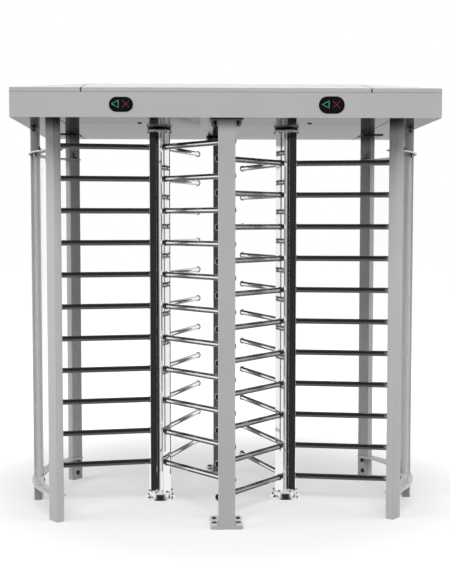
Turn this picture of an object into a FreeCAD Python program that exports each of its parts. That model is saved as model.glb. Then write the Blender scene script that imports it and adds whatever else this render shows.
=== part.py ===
import FreeCAD, Part
import math
import os
import Sketcher

from FreeCAD import Placement, Rotation, Vector

# Twin full height turnstile: two three-wing rotors whose bars interleave behind a centre post,
# a lane on each outer side, and one canopy that holds both rotor heads.
# Frame: origin on the floor at the middle of the canopy's plan, X across, front at -Y, +Z up.

# Driving dimensions, millimetres and degrees
SIZES = {
    # canopy
    "soffit_height": 2130.0,
    "fascia_height": 150.0,
    "sheet_thickness": 2.5,
    "canopy_end_margin": 32.0,
    "front_return_depth": 292.0,
    "rear_return_depth": 306.0,
    "end_return_width": 240.0,
    "ledge_width": 25.0,
    "seam_gap": 1.5,
    "lid_skirt": 22.0,
    "lid_rise": 65.0,
    "lid_slope_length": 360.0,
    "lid_gap": 6.0,
    "frame_tube_width": 50.0,
    "frame_tube_height": 60.0,
    "frame_tube_wall": 3.0,
    "frame_end_gap": 4.0,
    "stringer_offset": 64.0,
    # rotors
    "column_gap": 90.0,
    "wing_count": 3,
    "wing_length": 636.0,
    "wing_angle": 9.6,
    "bar_count": 11,
    "first_bar_height": 215.5,
    "top_bar_margin": 84.5,
    "bar_diameter": 32.0,
    "bar_wall": 1.5,
    "cap_diameter": 38.0,
    "cap_thickness": 4.0,
    "cap_plug_length": 16.0,
    "cap_clearance": 0.05,
    "wing_tube_width": 60.0,
    "wing_tube_depth": 40.0,
    "wing_tube_wall": 3.0,
    "wing_tube_gap": 2.0,
    "end_plate_thickness": 10.0,
    "plate_screw_gap": 0.5,
    "plate_rim": 6.5,
    "plate_screw_head": 10.0,
    "plate_screw_shank": 6.0,
    "shaft_diameter": 38.0,
    "shaft_bore": 34.0,
    "journal_diameter": 40.0,
    "journal_height": 120.0,
    "shaft_seat": 6.0,
    # floor bearings
    "base_rim": 5.5,
    "base_thickness": 8.0,
    "boss_diameter": 130.0,
    "boss_height": 22.0,
    "washer_thickness": 2.0,
    "washer_diameter": 60.0,
    "spigot_diameter": 30.0,
    "spigot_height": 75.0,
    "foot_bearing_height": 30.0,
    "running_clearance": 0.05,
    "base_screw_gap": 1.5,
    "base_screw_count": 6,
    "base_screw_head": 10.0,
    "base_screw_shank": 6.0,
    # rotor heads
    "collar_diameter": 131.0,
    "collar_drop": 7.0,
    "collar_gap": 3.0,
    "collar_panel_gap": 3.0,
    "bearing_diameter": 80.0,
    "bearing_width": 18.0,
    "bearing_shoulder": 4.0,
    "throat_gap": 5.0,
    "head_beam_offset": 130.0,
    "head_plate_width": 320.0,
    "head_plate_depth": 320.0,
    "head_plate_shift": 40.0,
    "head_plate_thickness": 8.0,
    "disc_diameter": 112.0,
    "disc_thickness": 10.0,
    "disc_gap": 5.5,
    "lug_width": 8.0,
    "lug_reach": 24.0,
    "lug_lag_angle": 15.0,
    "lever_reach": 110.0,
    "lever_width": 16.0,
    "lever_boss": 24.0,
    "nose_width": 10.0,
    "nose_length": 22.0,
    "nose_gap": 3.0,
    "pivot_diameter": 12.0,
    "pivot_collar_width": 5.0,
    "pivot_stickout_length": 5.0,
    "plunger_offset": 30.0,
    "plunger_diameter": 12.0,
    "plunger_length": 56.0,
    "plunger_gap": 0.5,
    "plunger_clearance": 0.3,
    "solenoid_gap": 19.0,
    "solenoid_width": 44.0,
    "solenoid_length": 60.0,
    "solenoid_height": 40.0,
    "solenoid_bore_gap": 3.0,
    "control_box_width": 300.0,
    "control_box_depth": 200.0,
    "control_box_height": 60.0,
    # side posts and hoops
    "tip_clearance": 34.0,
    "post_standoff": 23.5,
    "outer_post_standoff": 12.5,
    "post_angle": 40.5,
    "post_width": 80.0,
    "post_depth": 45.0,
    "post_wall": 3.0,
    "socket_gap": 0.5,
    "socket_wall": 5.0,
    "socket_length": 100.0,
    "socket_bolt_height": 43.0,
    "top_bolt_drop": 12.0,
    "hoop_width": 65.0,
    "hoop_thickness": 8.0,
    "hoop_overlap_angle": 2.0,
    "lower_hoop_height": 130.0,
    "upper_hoop_drop": 154.0,
    "hoop_clearance": 0.5,
    "tab_thickness": 5.0,
    "tab_height": 44.0,
    "tab_width": 34.0,
    "post_bolt_head": 26.0,
    "post_bolt_head_height": 8.0,
    "top_screw_head": 17.0,
    "top_screw_head_height": 5.0,
    "post_bolt_shank": 10.0,
    "post_bolt_length": 15.0,
    "bolt_clearance": 0.25,
    "panel_shift": 4.0,
    "panel_thickness": 6.0,
    "panel_end_gap": 0.5,
    "clip_angle": 20.0,
    "clip_width": 24.0,
    "clip_depth": 10.0,
    "clip_height": 18.0,
    "clip_gap": 0.3,
    "rear_plate_width": 130.0,
    "rear_plate_depth": 164.0,
    "rear_plate_thickness": 6.0,
    "rear_plate_shift": 17.0,
    # centre posts
    "center_post_width": 88.0,
    "center_post_depth": 50.0,
    "center_post_wall": 3.0,
    "front_post_clearance": 64.8,
    "rear_post_clearance": 11.8,
    "rear_post_step": 13.0,
    "foot_plate_width": 172.0,
    "foot_plate_depth": 216.0,
    "foot_plate_thickness": 15.0,
    "foot_plate_chamfer": 12.0,
    "top_plate_thickness": 8.0,
    "angle_leg": 35.0,
    "angle_thickness": 5.0,
    "anchor_spread": 90.0,
    "anchor_margin": 16.0,
    "anchor_shank": 12.0,
    "anchor_head": 24.0,
    "anchor_head_height": 8.0,
    "top_bolt_head_height": 24.0,
    "anchor_grip": 32.0,
    # indicators and cam locks
    "left_indicator_offset": 536.8,
    "right_indicator_offset": 534.8,
    "indicator_lift": 1.0,
    "left_indicator_width": 122.0,
    "left_indicator_tall": 75.0,
    "right_indicator_width": 132.0,
    "right_indicator_tall": 87.0,
    "indicator_proud": 1.0,
    "indicator_fit": 0.3,
    "indicator_body_margin": 6.0,
    "indicator_body_depth": 22.0,
    "arrow_height": 36.0,
    "arrow_length": 34.0,
    "arrow_stroke": 2.4,
    "arrow_shift": 31.0,
    "cross_size": 38.0,
    "cross_stroke": 2.4,
    "cross_shift": 24.0,
    "mark_lift": 2.0,
    "mark_thickness": 0.6,
    "cam_side_gap": 0.5,
    "cam_inset": 29.0,
    "cam_head": 22.0,
    "cam_head_height": 4.0,
    "cam_barrel": 19.0,
    "cam_fit": 0.4,
    "cam_barrel_height": 26.0,
    "cam_length": 50.0,
    "cam_width": 14.0,
    "cam_thickness": 3.0,
    "cam_lip_gap": 2.0,
}

doc = FreeCAD.newDocument("full_height_turnstile")
sheet = doc.addObject("Spreadsheet::Sheet", "sizes")
for row, (alias, number) in enumerate(SIZES.items(), start=1):
    sheet.set("A%d" % row, alias)
    sheet.set("B%d" % row, str(number))
    sheet.setAlias("B%d" % row, alias)
doc.recompute()


class Size:
    """A length or angle that keeps its number and the sheet formula it comes from."""

    def __init__(self, number, formula):
        self.number = float(number)
        self.formula = formula

    def __float__(self):
        return self.number

    def __add__(self, other):
        other = as_size(other)
        return Size(self.number + other.number, "(%s + %s)" % (self.formula, other.formula))

    def __radd__(self, other):
        return as_size(other) + self

    def __sub__(self, other):
        other = as_size(other)
        return Size(self.number - other.number, "(%s - %s)" % (self.formula, other.formula))

    def __rsub__(self, other):
        return as_size(other) - self

    def __mul__(self, other):
        other = as_size(other)
        return Size(self.number * other.number, "(%s * %s)" % (self.formula, other.formula))

    def __rmul__(self, other):
        return as_size(other) * self

    def __truediv__(self, other):
        other = as_size(other)
        return Size(self.number / other.number, "(%s / %s)" % (self.formula, other.formula))

    def __neg__(self):
        return Size(-self.number, "(0 - %s)" % self.formula)


def as_size(value):
    if isinstance(value, Size):
        return value
    return Size(value, "(%r)" % float(value))


def cosine(angle):
    angle = as_size(angle)
    return Size(math.cos(math.radians(angle.number)), "cos(%s)" % angle.formula)


def sine(angle):
    angle = as_size(angle)
    return Size(math.sin(math.radians(angle.number)), "sin(%s)" % angle.formula)


def root(square):
    square = as_size(square)
    return Size(math.sqrt(square.number), "sqrt(%s)" % square.formula)


def size(alias):
    return Size(sheet.get(alias), "sizes.%s" % alias)


def bind(thing, name, value):
    """Ties a property to the sheet; the engine works it out at the next recompute."""
    value = as_size(value)
    thing.setExpression(name, value.formula)


def place(thing, x, y, z, turn=0.0, axis=Vector(0, 0, 1)):
    thing.Placement = Placement(Vector(float(x), float(y), float(z)), Rotation(axis, float(turn)))
    bind(thing, "Placement.Base.x", x)
    bind(thing, "Placement.Base.y", y)
    bind(thing, "Placement.Base.z", z)
    return thing


def block(label, length, width, height, x, y, z, turn=0.0):
    """A box centred on x and y, standing on z and turned about its own middle."""
    box = doc.addObject("Part::Box", label)
    bind(box, "Length", length)
    bind(box, "Width", width)
    bind(box, "Height", height)
    half_length = as_size(length) / 2
    half_width = as_size(width) / 2
    corner_x = x - half_length * cosine(turn) + half_width * sine(turn)
    corner_y = y - half_length * sine(turn) - half_width * cosine(turn)
    place(box, corner_x, corner_y, z, turn)
    if isinstance(turn, Size):
        bind(box, "Placement.Rotation.Angle", turn)
    return box


def rod(label, radius, length, x, y, z):
    """An upright cylinder standing on z."""
    cylinder = doc.addObject("Part::Cylinder", label)
    bind(cylinder, "Radius", radius)
    bind(cylinder, "Height", length)
    return place(cylinder, x, y, z)


def lying_rod(label, radius, length, x, y, z, heading):
    """A level cylinder that starts at the point and runs along the heading."""
    cylinder = doc.addObject("Part::Cylinder", label)
    bind(cylinder, "Radius", radius)
    bind(cylinder, "Height", length)
    angle = math.radians(float(heading))
    return place(cylinder, x, y, z, 90.0, Vector(-math.sin(angle), math.cos(angle), 0))


def cut(label, base, tools):
    result = doc.addObject("Part::Cut", label)
    result.Base = base
    result.Tool = tools[0] if len(tools) == 1 else bundle(label + "_tools", tools)
    return result


def fuse(label, pieces):
    result = doc.addObject("Part::MultiFuse", label)
    result.Shapes = pieces
    return result


def bundle(label, pieces):
    result = doc.addObject("Part::Compound", label)
    result.Links = pieces
    return result


def frozen(label, shape, origin=Vector(0, 0, 0), rotation=Rotation()):
    """A piece whose outline no primitive gives; its shape is built from sheet numbers."""
    feature = doc.addObject("Part::Feature", label)
    feature.Shape = shape
    feature.Placement = Placement(origin, rotation)
    return feature


nodes = {}


def node(name, thing):
    thing.Label = name
    nodes[name] = thing
    return thing


def along(start_x, start_y, heading, forward, sideways=0.0):
    """The point reached by going forward along a heading, then sideways to its left."""
    x = start_x + forward * cosine(heading) - sideways * sine(heading)
    y = start_y + forward * sine(heading) + sideways * cosine(heading)
    return x, y


SIDES = {"left": -1, "right": 1}
sheet_t = size("sheet_thickness")
soffit = size("soffit_height")

# Column and floor base radii, from the shaft outwards
wing_face = size("shaft_diameter") / 2 + size("wing_tube_gap") + size("wing_tube_depth")
plate_screw_radius = wing_face + size("plate_screw_gap") + size("plate_screw_head") / 2
end_plate_radius = plate_screw_radius + size("plate_rim")
base_screw_radius = end_plate_radius + size("base_screw_gap") + size("base_screw_head") / 2
base_radius = base_screw_radius + size("base_rim")

# Hoops, side posts and the clear panels between the posts, from the bar tips outwards
hoop_inner = size("wing_length") + size("tip_clearance")
hoop_outer = hoop_inner + size("hoop_width")
post_circle = hoop_inner + size("post_standoff") + size("post_depth") / 2
outer_post_circle = hoop_inner + size("outer_post_standoff") + size("post_depth") / 2
panel_outer = outer_post_circle + size("panel_shift")
panel_inner = panel_outer - size("panel_thickness")

# The rotors stand so far apart that the tips pass the other column, and the centre posts
# stand just outside the line that the tips sweep beside them
rotor_spacing = size("wing_length") + size("column_gap")
beside_post = rotor_spacing / 2 - size("center_post_width") / 2
tip_reach = root(size("wing_length") * size("wing_length") - beside_post * beside_post)
front_span = tip_reach + size("front_post_clearance") + size("center_post_depth")
rear_post_span = tip_reach + size("rear_post_clearance")
rear_span = rear_post_span - size("rear_post_step") + size("foot_plate_depth")
canopy_depth = front_span + rear_span
canopy_half_y = canopy_depth / 2
rotor_y = front_span - canopy_half_y
rotor_x = {side: sign * rotor_spacing / 2 for side, sign in SIDES.items()}
canopy_half_x = rotor_spacing / 2 + outer_post_circle + size("canopy_end_margin")
canopy_width = 2 * canopy_half_x

fascia_top = soffit + size("fascia_height")
seam_height = fascia_top - size("lid_skirt")
beam_floor = soffit + sheet_t
beam_top = beam_floor + size("frame_tube_height")


def wing_heading(side, index):
    """Plan direction of a wing, counted from the outer lane's wing; the sides mirror."""
    turn = size("wing_angle") + index * 360.0 / int(SIZES["wing_count"])
    return turn + 180.0 if side == "left" else -turn


# Side posts: each stands on the circle about its rotor, wide face square to the radius
POST_TURNS = {"front": -1, "outer": 0, "rear": 1}


def post_heading(side, spot):
    """Plan direction from the rotor axis to a side post."""
    swing = POST_TURNS[spot] * size("post_angle")
    return 180.0 - swing if side == "left" else swing + 0.0


def post_center(side, spot):
    radius = outer_post_circle if spot == "outer" else post_circle
    return along(rotor_x[side], rotor_y, post_heading(side, spot), radius)


bolt_shank = size("post_bolt_shank") / 2


def bolt_at(label, kind, x, y, z, heading):
    """A button-head bolt whose head rests at the point and whose shank follows the heading."""
    head = lying_rod(label + "_head", size(kind) / 2, size(kind + "_height"),
                     x, y, z, float(heading) + 180.0)
    shank = lying_rod(label + "_shank", bolt_shank, size("post_bolt_length"), x, y, z, heading)
    return fuse(label, [head, shank])


def hole_at(label, x, y, z, heading):
    start_x, start_y = along(x, y, heading, -size("tab_thickness"))
    length = size("post_bolt_length") + size("tab_thickness") * 2
    return lying_rod(label, bolt_shank + size("bolt_clearance"), length, start_x, start_y, z, heading)


hoop_levels = {"lower": size("lower_hoop_height"), "upper": soffit - size("upper_hoop_drop")}
# the tabs hang below the lower hoops and stand on the upper ones
tab_bases = {"lower": hoop_levels["lower"] - size("tab_height"),
             "upper": hoop_levels["upper"] + size("hoop_thickness")}
tab_seat = size("hoop_clearance") + size("tab_thickness")


def inner_face(side, spot, standoff):
    """The middle of a post's wide face toward its rotor, or a point standing off it."""
    x, y = post_center(side, spot)
    return along(x, y, post_heading(side, spot), -(size("post_depth") / 2 + standoff))


post_bolts = []
sockets = []
socket_width = size("post_width") - 2 * size("post_wall") - 2 * size("socket_gap")
socket_depth = size("post_depth") - 2 * size("post_wall") - 2 * size("socket_gap")


def make_post(side, spot):
    """A rectangular tube that slips over a floor socket and a canopy socket."""
    name = "%s_%s_post" % (side, spot)
    x, y = post_center(side, spot)
    heading = post_heading(side, spot)
    turn = heading + 90.0
    outer = block(name + "_skin", size("post_width"), size("post_depth"), soffit, x, y, 0.0, turn)
    inner = block(name + "_bore", size("post_width") - 2 * size("post_wall"),
                  size("post_depth") - 2 * size("post_wall"), soffit, x, y, 0.0, turn)
    post_holes = []
    socket_holes = {"foot": [], "top": []}
    # the wide inner face takes one bolt into the floor socket and one for each hoop's tab
    low_x, low_y = inner_face(side, spot, 0.0)
    low_z = size("socket_bolt_height")
    post_bolts.append(bolt_at(name + "_foot_bolt", "post_bolt_head", low_x, low_y, low_z, heading))
    low_hole = hole_at(name + "_foot_hole", low_x, low_y, low_z, heading)
    post_holes.append(low_hole)
    socket_holes["foot"].append(low_hole)
    seat_x, seat_y = inner_face(side, spot, tab_seat)
    for level in hoop_levels:
        tag = "%s_%s_hoop" % (name, level)
        seat_z = tab_bases[level] + size("tab_height") / 2
        post_bolts.append(bolt_at(tag + "_bolt", "post_bolt_head", seat_x, seat_y, seat_z, heading))
        post_holes.append(hole_at(tag + "_hole", seat_x, seat_y, seat_z, heading))
    # a screw from each narrow face into the canopy socket; the rear posts have a plate instead
    for end in (-1, 1) if spot != "rear" else ():
        face_x, face_y = along(x, y, turn, end * size("post_width") / 2)
        inward = turn + (0.0 if end < 0 else 180.0)
        top_z = soffit - size("top_bolt_drop")
        tag = "%s_top_%s" % (name, "a" if end < 0 else "b")
        post_bolts.append(bolt_at(tag + "_bolt", "top_screw_head", face_x, face_y, top_z, inward))
        top_hole = hole_at(tag + "_hole", face_x, face_y, top_z, inward)
        post_holes.append(top_hole)
        socket_holes["top"].append(top_hole)
    node(name, cut(name, outer, [inner] + post_holes))
    for end, base in (("foot", as_size(0.0)), ("top", soffit - size("socket_length"))):
        stub = block("%s_%s_socket_skin" % (name, end), socket_width, socket_depth,
                     size("socket_length"), x, y, base, turn)
        stub_bore = block("%s_%s_socket_bore" % (name, end), socket_width - 2 * size("socket_wall"),
                          socket_depth - 2 * size("socket_wall"), size("socket_length"), x, y, base, turn)
        sockets.append(cut("%s_%s_socket" % (name, end), stub, [stub_bore] + socket_holes[end]))


for side in SIDES:
    for spot in POST_TURNS:
        make_post(side, spot)
node("side_post_sockets", bundle("side_post_sockets", sockets))
node("post_bolts", bundle("post_bolts", post_bolts))

# Rear posts carry a plate just under the soffit, open where the tube passes and longer outward
rear_plates = []
for side, sign in SIDES.items():
    x, y = post_center(side, "rear")
    turn = post_heading(side, "rear") + 90.0
    room = 2 * size("hoop_clearance")
    plate_base = soffit - size("rear_plate_thickness")
    plate = block("%s_rear_plate_blank" % side, size("rear_plate_width"), size("rear_plate_depth"),
                  size("rear_plate_thickness"), x + sign * size("rear_plate_shift"), y, plate_base)
    hole = block("%s_rear_plate_hole" % side, size("post_width") + room, size("post_depth") + room,
                 size("rear_plate_thickness"), x, y, plate_base, turn)
    rear_plates.append(cut("%s_rear_plate" % side, plate, [hole]))
node("rear_post_top_plates", bundle("rear_post_top_plates", rear_plates))


def ring_sector(inner, outer, start, finish, height):
    """A flat ring sector about the origin, from one plan angle to another."""
    def spot(radius, angle):
        return Vector(radius * math.cos(math.radians(angle)), radius * math.sin(math.radians(angle)), 0)
    middle = (start + finish) / 2
    edges = [
        Part.Arc(spot(outer, start), spot(outer, middle), spot(outer, finish)).toShape(),
        Part.makeLine(spot(outer, finish), spot(inner, finish)),
        Part.Arc(spot(inner, finish), spot(inner, middle), spot(inner, start)).toShape(),
        Part.makeLine(spot(inner, start), spot(outer, start)),
    ]
    return Part.Face(Part.Wire(edges)).extrude(Vector(0, 0, height))


def sector_feature(label, side, inner, outer, start, finish, height, base):
    """A ring sector about a rotor axis; its angles count from that side's outward direction."""
    outward = 180.0 if side == "left" else 0.0
    shape = ring_sector(float(inner), float(outer), outward + start, outward + finish, float(height))
    return frozen(label, shape, Vector(float(rotor_x[side]), float(rotor_y), float(base)))


hoop_half_angle = float(size("post_angle") + size("hoop_overlap_angle"))


def make_hoop(side, level):
    """A flat C ring: a hole round the outer post, notches at the other two, a tab at each."""
    name = "%s_%s_hoop" % (side, level)
    base = hoop_levels[level]
    plate = sector_feature(name + "_plate", side, hoop_inner, hoop_outer,
                           -hoop_half_angle, hoop_half_angle, size("hoop_thickness"), base)
    room = 2 * size("hoop_clearance")
    openings = []
    tabs = []
    for spot in POST_TURNS:
        x, y = post_center(side, spot)
        heading = post_heading(side, spot)
        turn = heading + 90.0
        # the front and rear notches run out past the ends of the ring
        toward_end = POST_TURNS[spot] * SIDES[side]
        notch_x, notch_y = along(x, y, turn, toward_end * size("post_width") / 2)
        notch_length = size("post_width") * (1 + abs(toward_end)) + room
        openings.append(block("%s_%s_notch" % (name, spot), notch_length, size("post_depth") + room,
                              size("hoop_thickness"), notch_x, notch_y, base, turn))
        tab_x, tab_y = inner_face(side, spot, tab_seat - size("tab_thickness") / 2)
        tab = block("%s_%s_tab" % (name, spot), size("tab_width"), size("tab_thickness"),
                    size("tab_height"), tab_x, tab_y, tab_bases[level], turn)
        seat_x, seat_y = inner_face(side, spot, tab_seat)
        seat_z = tab_bases[level] + size("tab_height") / 2
        tab_hole = hole_at("%s_%s_tab_hole" % (name, spot), seat_x, seat_y, seat_z, heading)
        tabs.append(cut("%s_%s_drilled_tab" % (name, spot), tab, [tab_hole]))
    flat = cut(name + "_flat", plate, openings)
    return fuse(name, [flat] + tabs)


for level in hoop_levels:
    node("%s_hoops" % level, bundle("%s_hoops" % level, [make_hoop(side, level) for side in SIDES]))

# Clear guard panels: two curved sheets a side, between the hoops and from post to post
panel_base = hoop_levels["lower"] + size("hoop_thickness")
panel_height = hoop_levels["upper"] - panel_base
beside_outer_post = float(size("post_width") / 2 + size("panel_end_gap"))
panel_start = math.degrees(math.asin(beside_outer_post / float(panel_inner)))
panel_finish = float(size("post_angle")) - panel_start
for side in SIDES:
    name = "%s_guard_panel" % side
    first_sheet = sector_feature(name + "_first", side, panel_inner, panel_outer,
                                 -panel_finish, -panel_start, panel_height, panel_base)
    second_sheet = sector_feature(name + "_second", side, panel_inner, panel_outer,
                                  panel_start, panel_finish, panel_height, panel_base)
    node(name, bundle(name, [first_sheet, second_sheet]))

clips = []
for side in SIDES:
    for level, base in (("lower", panel_base), ("upper", hoop_levels["upper"] - size("clip_height"))):
        for turn_sign in (-1, 1):
            heading = (180.0 if side == "left" else 0.0) + turn_sign * size("clip_angle")
            radius = panel_outer + size("clip_gap") + size("clip_depth") / 2
            x, y = along(rotor_x[side], rotor_y, heading, radius)
            clips.append(block("clip_%s_%s_%d" % (side, level, turn_sign), size("clip_depth"),
                               size("clip_width"), size("clip_height"), x, y, base, heading))
node("panel_clips", bundle("panel_clips", clips))

# Centre posts: rectangular tubes on foot plates, with an angle and two anchors at each side
plate_front = -canopy_half_y
post_fronts = {"front": plate_front, "rear": rotor_y + rear_post_span}
plate_centers = {"front": plate_front + size("foot_plate_depth") / 2,
                 "rear": canopy_half_y - size("foot_plate_depth") / 2}
top_plate_base = soffit - size("top_plate_thickness")
anchor_x = size("stringer_offset")


def anchor_rows(spot):
    """The two rows of anchors, behind the post."""
    first = post_fronts[spot] + size("center_post_depth") + size("anchor_margin")
    return [first, first + size("anchor_spread")]


anchor_bolts = []
angles = []
foot_plates = []
top_plates = []
shank_hole = size("anchor_shank") / 2 + size("bolt_clearance")
top_hole_tools = {"front": [], "rear": []}


def hex_head(label, height, x, y, z):
    """A hexagon head centred on the bolt."""
    head = doc.addObject("Part::Prism", label)
    head.Polygon = 6
    bind(head, "Circumradius", size("anchor_head") / 2 / cosine(30.0))
    bind(head, "Height", height)
    return place(head, x, y, z)


def make_angle(label, x_sign, spot, low):
    """An angle welded between the post's side and the plate under or over it."""
    middle_y = post_fronts[spot] + size("center_post_depth") / 2
    root_x = size("center_post_width") / 2
    leg = size("angle_leg")
    thick = size("angle_thickness")
    base = size("foot_plate_thickness") if low else top_plate_base - leg
    level_base = base if low else top_plate_base - thick
    wall = block(label + "_wall", thick, size("center_post_depth"), leg,
                 x_sign * (root_x + thick / 2), middle_y, base)
    level = block(label + "_level", leg, size("center_post_depth"), thick,
                  x_sign * (root_x + leg / 2), middle_y, level_base)
    return fuse(label, [wall, level])


def chamfered_plate(label, thickness, y, base, hole_rows):
    """A plate with cut corners and four anchor holes, padded from a sketch."""
    body = doc.addObject("PartDesign::Body", label)
    outline = body.newObject("Sketcher::SketchObject", label + "_outline")
    plane = [item for item in body.Origin.OriginFeatures if item.Role == "XY_Plane"][0]
    outline.AttachmentSupport = [(plane, "")]
    outline.MapMode = "FlatFace"
    half_x = float(size("foot_plate_width")) / 2
    half_y = float(size("foot_plate_depth")) / 2
    trim = float(size("foot_plate_chamfer"))
    corners = [(half_x, half_y - trim), (half_x - trim, half_y), (trim - half_x, half_y),
               (-half_x, half_y - trim), (-half_x, trim - half_y), (trim - half_x, -half_y),
               (half_x - trim, -half_y), (half_x, trim - half_y)]
    for index, (corner_x, corner_y) in enumerate(corners):
        next_x, next_y = corners[(index + 1) % len(corners)]
        outline.addGeometry(Part.LineSegment(Vector(corner_x, corner_y, 0), Vector(next_x, next_y, 0)))
    for row_y in hole_rows:
        for x_sign in (-1, 1):
            middle = Vector(x_sign * float(anchor_x), float(row_y) - float(y), 0)
            outline.addGeometry(Part.Circle(middle, Vector(0, 0, 1), float(shank_hole)))
    pad = body.newObject("PartDesign::Pad", label + "_pad")
    pad.Profile = outline
    bind(pad, "Length", thickness)
    body.Tip = pad
    return place(body, 0.0, y, base)


for spot in post_fronts:
    name = "%s_center_post" % spot
    middle_y = post_fronts[spot] + size("center_post_depth") / 2
    base = size("foot_plate_thickness")
    height = top_plate_base - base
    outer = block(name + "_skin", size("center_post_width"), size("center_post_depth"), height,
                  0.0, middle_y, base)
    inner = block(name + "_bore", size("center_post_width") - 2 * size("center_post_wall"),
                  size("center_post_depth") - 2 * size("center_post_wall"), height, 0.0, middle_y, base)
    node(name, cut(name, outer, [inner]))
    rows = anchor_rows(spot)
    foot_plates.append(chamfered_plate("%s_foot_plate" % spot, size("foot_plate_thickness"),
                                       plate_centers[spot], 0.0, rows))
    top_plates.append(chamfered_plate("%s_top_plate" % spot, size("top_plate_thickness"),
                                      plate_centers[spot], top_plate_base, rows))
    for x_sign in (-1, 1):
        tag = "%s_%s" % (spot, "left" if x_sign < 0 else "right")
        angles.append(make_angle(tag + "_foot_angle", x_sign, spot, True))
        angles.append(make_angle(tag + "_top_angle", x_sign, spot, False))
        for index, row_y in enumerate(rows):
            bolt = "%s_anchor_%d" % (tag, index)
            shank = rod(bolt + "_shank", size("anchor_shank") / 2, size("foot_plate_thickness"),
                        x_sign * anchor_x, row_y, 0.0)
            head = hex_head(bolt + "_head", size("anchor_head_height"), x_sign * anchor_x, row_y,
                            size("foot_plate_thickness"))
            anchor_bolts.append(fuse(bolt, [shank, head]))
            bolt = "%s_top_bolt_%d" % (tag, index)
            shank = rod(bolt + "_shank", size("anchor_shank") / 2, size("anchor_grip"),
                        x_sign * anchor_x, row_y, top_plate_base)
            head = hex_head(bolt + "_head", size("top_bolt_head_height"), x_sign * anchor_x, row_y,
                            top_plate_base - size("top_bolt_head_height"))
            anchor_bolts.append(fuse(bolt, [shank, head]))
            top_hole_tools[spot].append(rod(bolt + "_hole", shank_hole, size("anchor_grip"),
                                            x_sign * anchor_x, row_y, top_plate_base))
node("center_foot_plates", bundle("center_foot_plates", foot_plates))
node("center_top_plates", bundle("center_top_plates", top_plates))
node("center_post_angles", bundle("center_post_angles", angles))
node("center_post_bolts", bundle("center_post_bolts", anchor_bolts))

# Canopy frame: welded hollow tubes over the posts and the rotor heads
tube_width = size("frame_tube_width")
tube_height = size("frame_tube_height")
tube_wall = size("frame_tube_wall")
end_beam_x = rotor_spacing / 2 + outer_post_circle
frame_length = 2 * end_beam_x + tube_width
post_rows = {spot: rotor_y + POST_TURNS[spot] * post_circle * sine(size("post_angle"))
             for spot in ("front", "rear")}
side_length = post_rows["rear"] - post_rows["front"]
side_middle = (post_rows["rear"] + post_rows["front"]) / 2
stringer_length = canopy_depth - 2 * sheet_t - 2 * size("frame_end_gap")

frame_skins = []
frame_bores = []


def frame_tube(label, length, width, x, y, open_ends):
    """One hollow member; its bore runs out of the open ends so the frame drains."""
    frame_skins.append(block(label + "_skin", length, width, tube_height, x, y, beam_floor))
    bore_length = length if open_ends == "x" else length - 2 * tube_wall
    bore_width = width if open_ends == "y" else width - 2 * tube_wall
    frame_bores.append(block(label + "_bore", bore_length, bore_width, tube_height - 2 * tube_wall,
                             x, y, beam_floor + tube_wall))


for spot in post_rows:
    frame_tube("%s_beam" % spot, frame_length, tube_width, as_size(0.0), post_rows[spot], "x")
for side, sign in SIDES.items():
    frame_tube("%s_end_beam" % side, tube_width, side_length, sign * end_beam_x, side_middle, "")
    frame_tube("%s_stringer" % side, tube_width, stringer_length, sign * size("stringer_offset"),
               as_size(0.0), "y")
    for step in (-1, 1):
        frame_tube("%s_head_beam_%s" % (side, "in" if step * sign < 0 else "out"), tube_width, side_length,
                   rotor_x[side] + step * size("head_beam_offset"), side_middle, "")
frame_blank = cut("canopy_frame_tubes", fuse("canopy_frame_skins", frame_skins),
                  [fuse("canopy_frame_bores", frame_bores)])
node("canopy_frame", cut("canopy_frame", frame_blank, top_hole_tools["front"] + top_hole_tools["rear"]))

# Canopy sheets: each fascia turns under into its part of the soffit and in at the top as a ledge
wall_height = seam_height - soffit
front_return_edge = size("front_return_depth") - canopy_half_y
rear_return_edge = canopy_half_y - size("rear_return_depth")
end_return_edge = canopy_half_x - size("end_return_width")


def x_sheet(label, sign, return_depth):
    """Front or rear fascia: wall, underside return and top ledge."""
    wall = block(label + "_wall", canopy_width, sheet_t, wall_height, as_size(0.0),
                 sign * (canopy_half_y - sheet_t / 2), soffit)
    under = block(label + "_return", canopy_width, return_depth, sheet_t, as_size(0.0),
                  sign * (canopy_half_y - return_depth / 2), soffit)
    ledge = block(label + "_ledge", canopy_width, size("ledge_width"), sheet_t, as_size(0.0),
                  sign * (canopy_half_y - size("ledge_width") / 2), seam_height - sheet_t)
    return fuse(label + "_folded", [wall, under, ledge])


def stadium(width, height, y_start, y_length, x, z):
    """A slab with round ends, standing in the fascia's plane."""
    radius = height / 2
    half_straight = width / 2 - radius
    top = Vector(x + half_straight, y_start, z + radius)
    bottom = Vector(x + half_straight, y_start, z - radius)
    far_top = Vector(x - half_straight, y_start, z + radius)
    far_bottom = Vector(x - half_straight, y_start, z - radius)
    edges = [
        Part.Arc(top, Vector(x + half_straight + radius, y_start, z), bottom).toShape(),
        Part.makeLine(bottom, far_bottom),
        Part.Arc(far_bottom, Vector(x - half_straight - radius, y_start, z), far_top).toShape(),
        Part.makeLine(far_top, top),
    ]
    return Part.Face(Part.Wire(edges)).extrude(Vector(0, y_length, 0))


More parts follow.
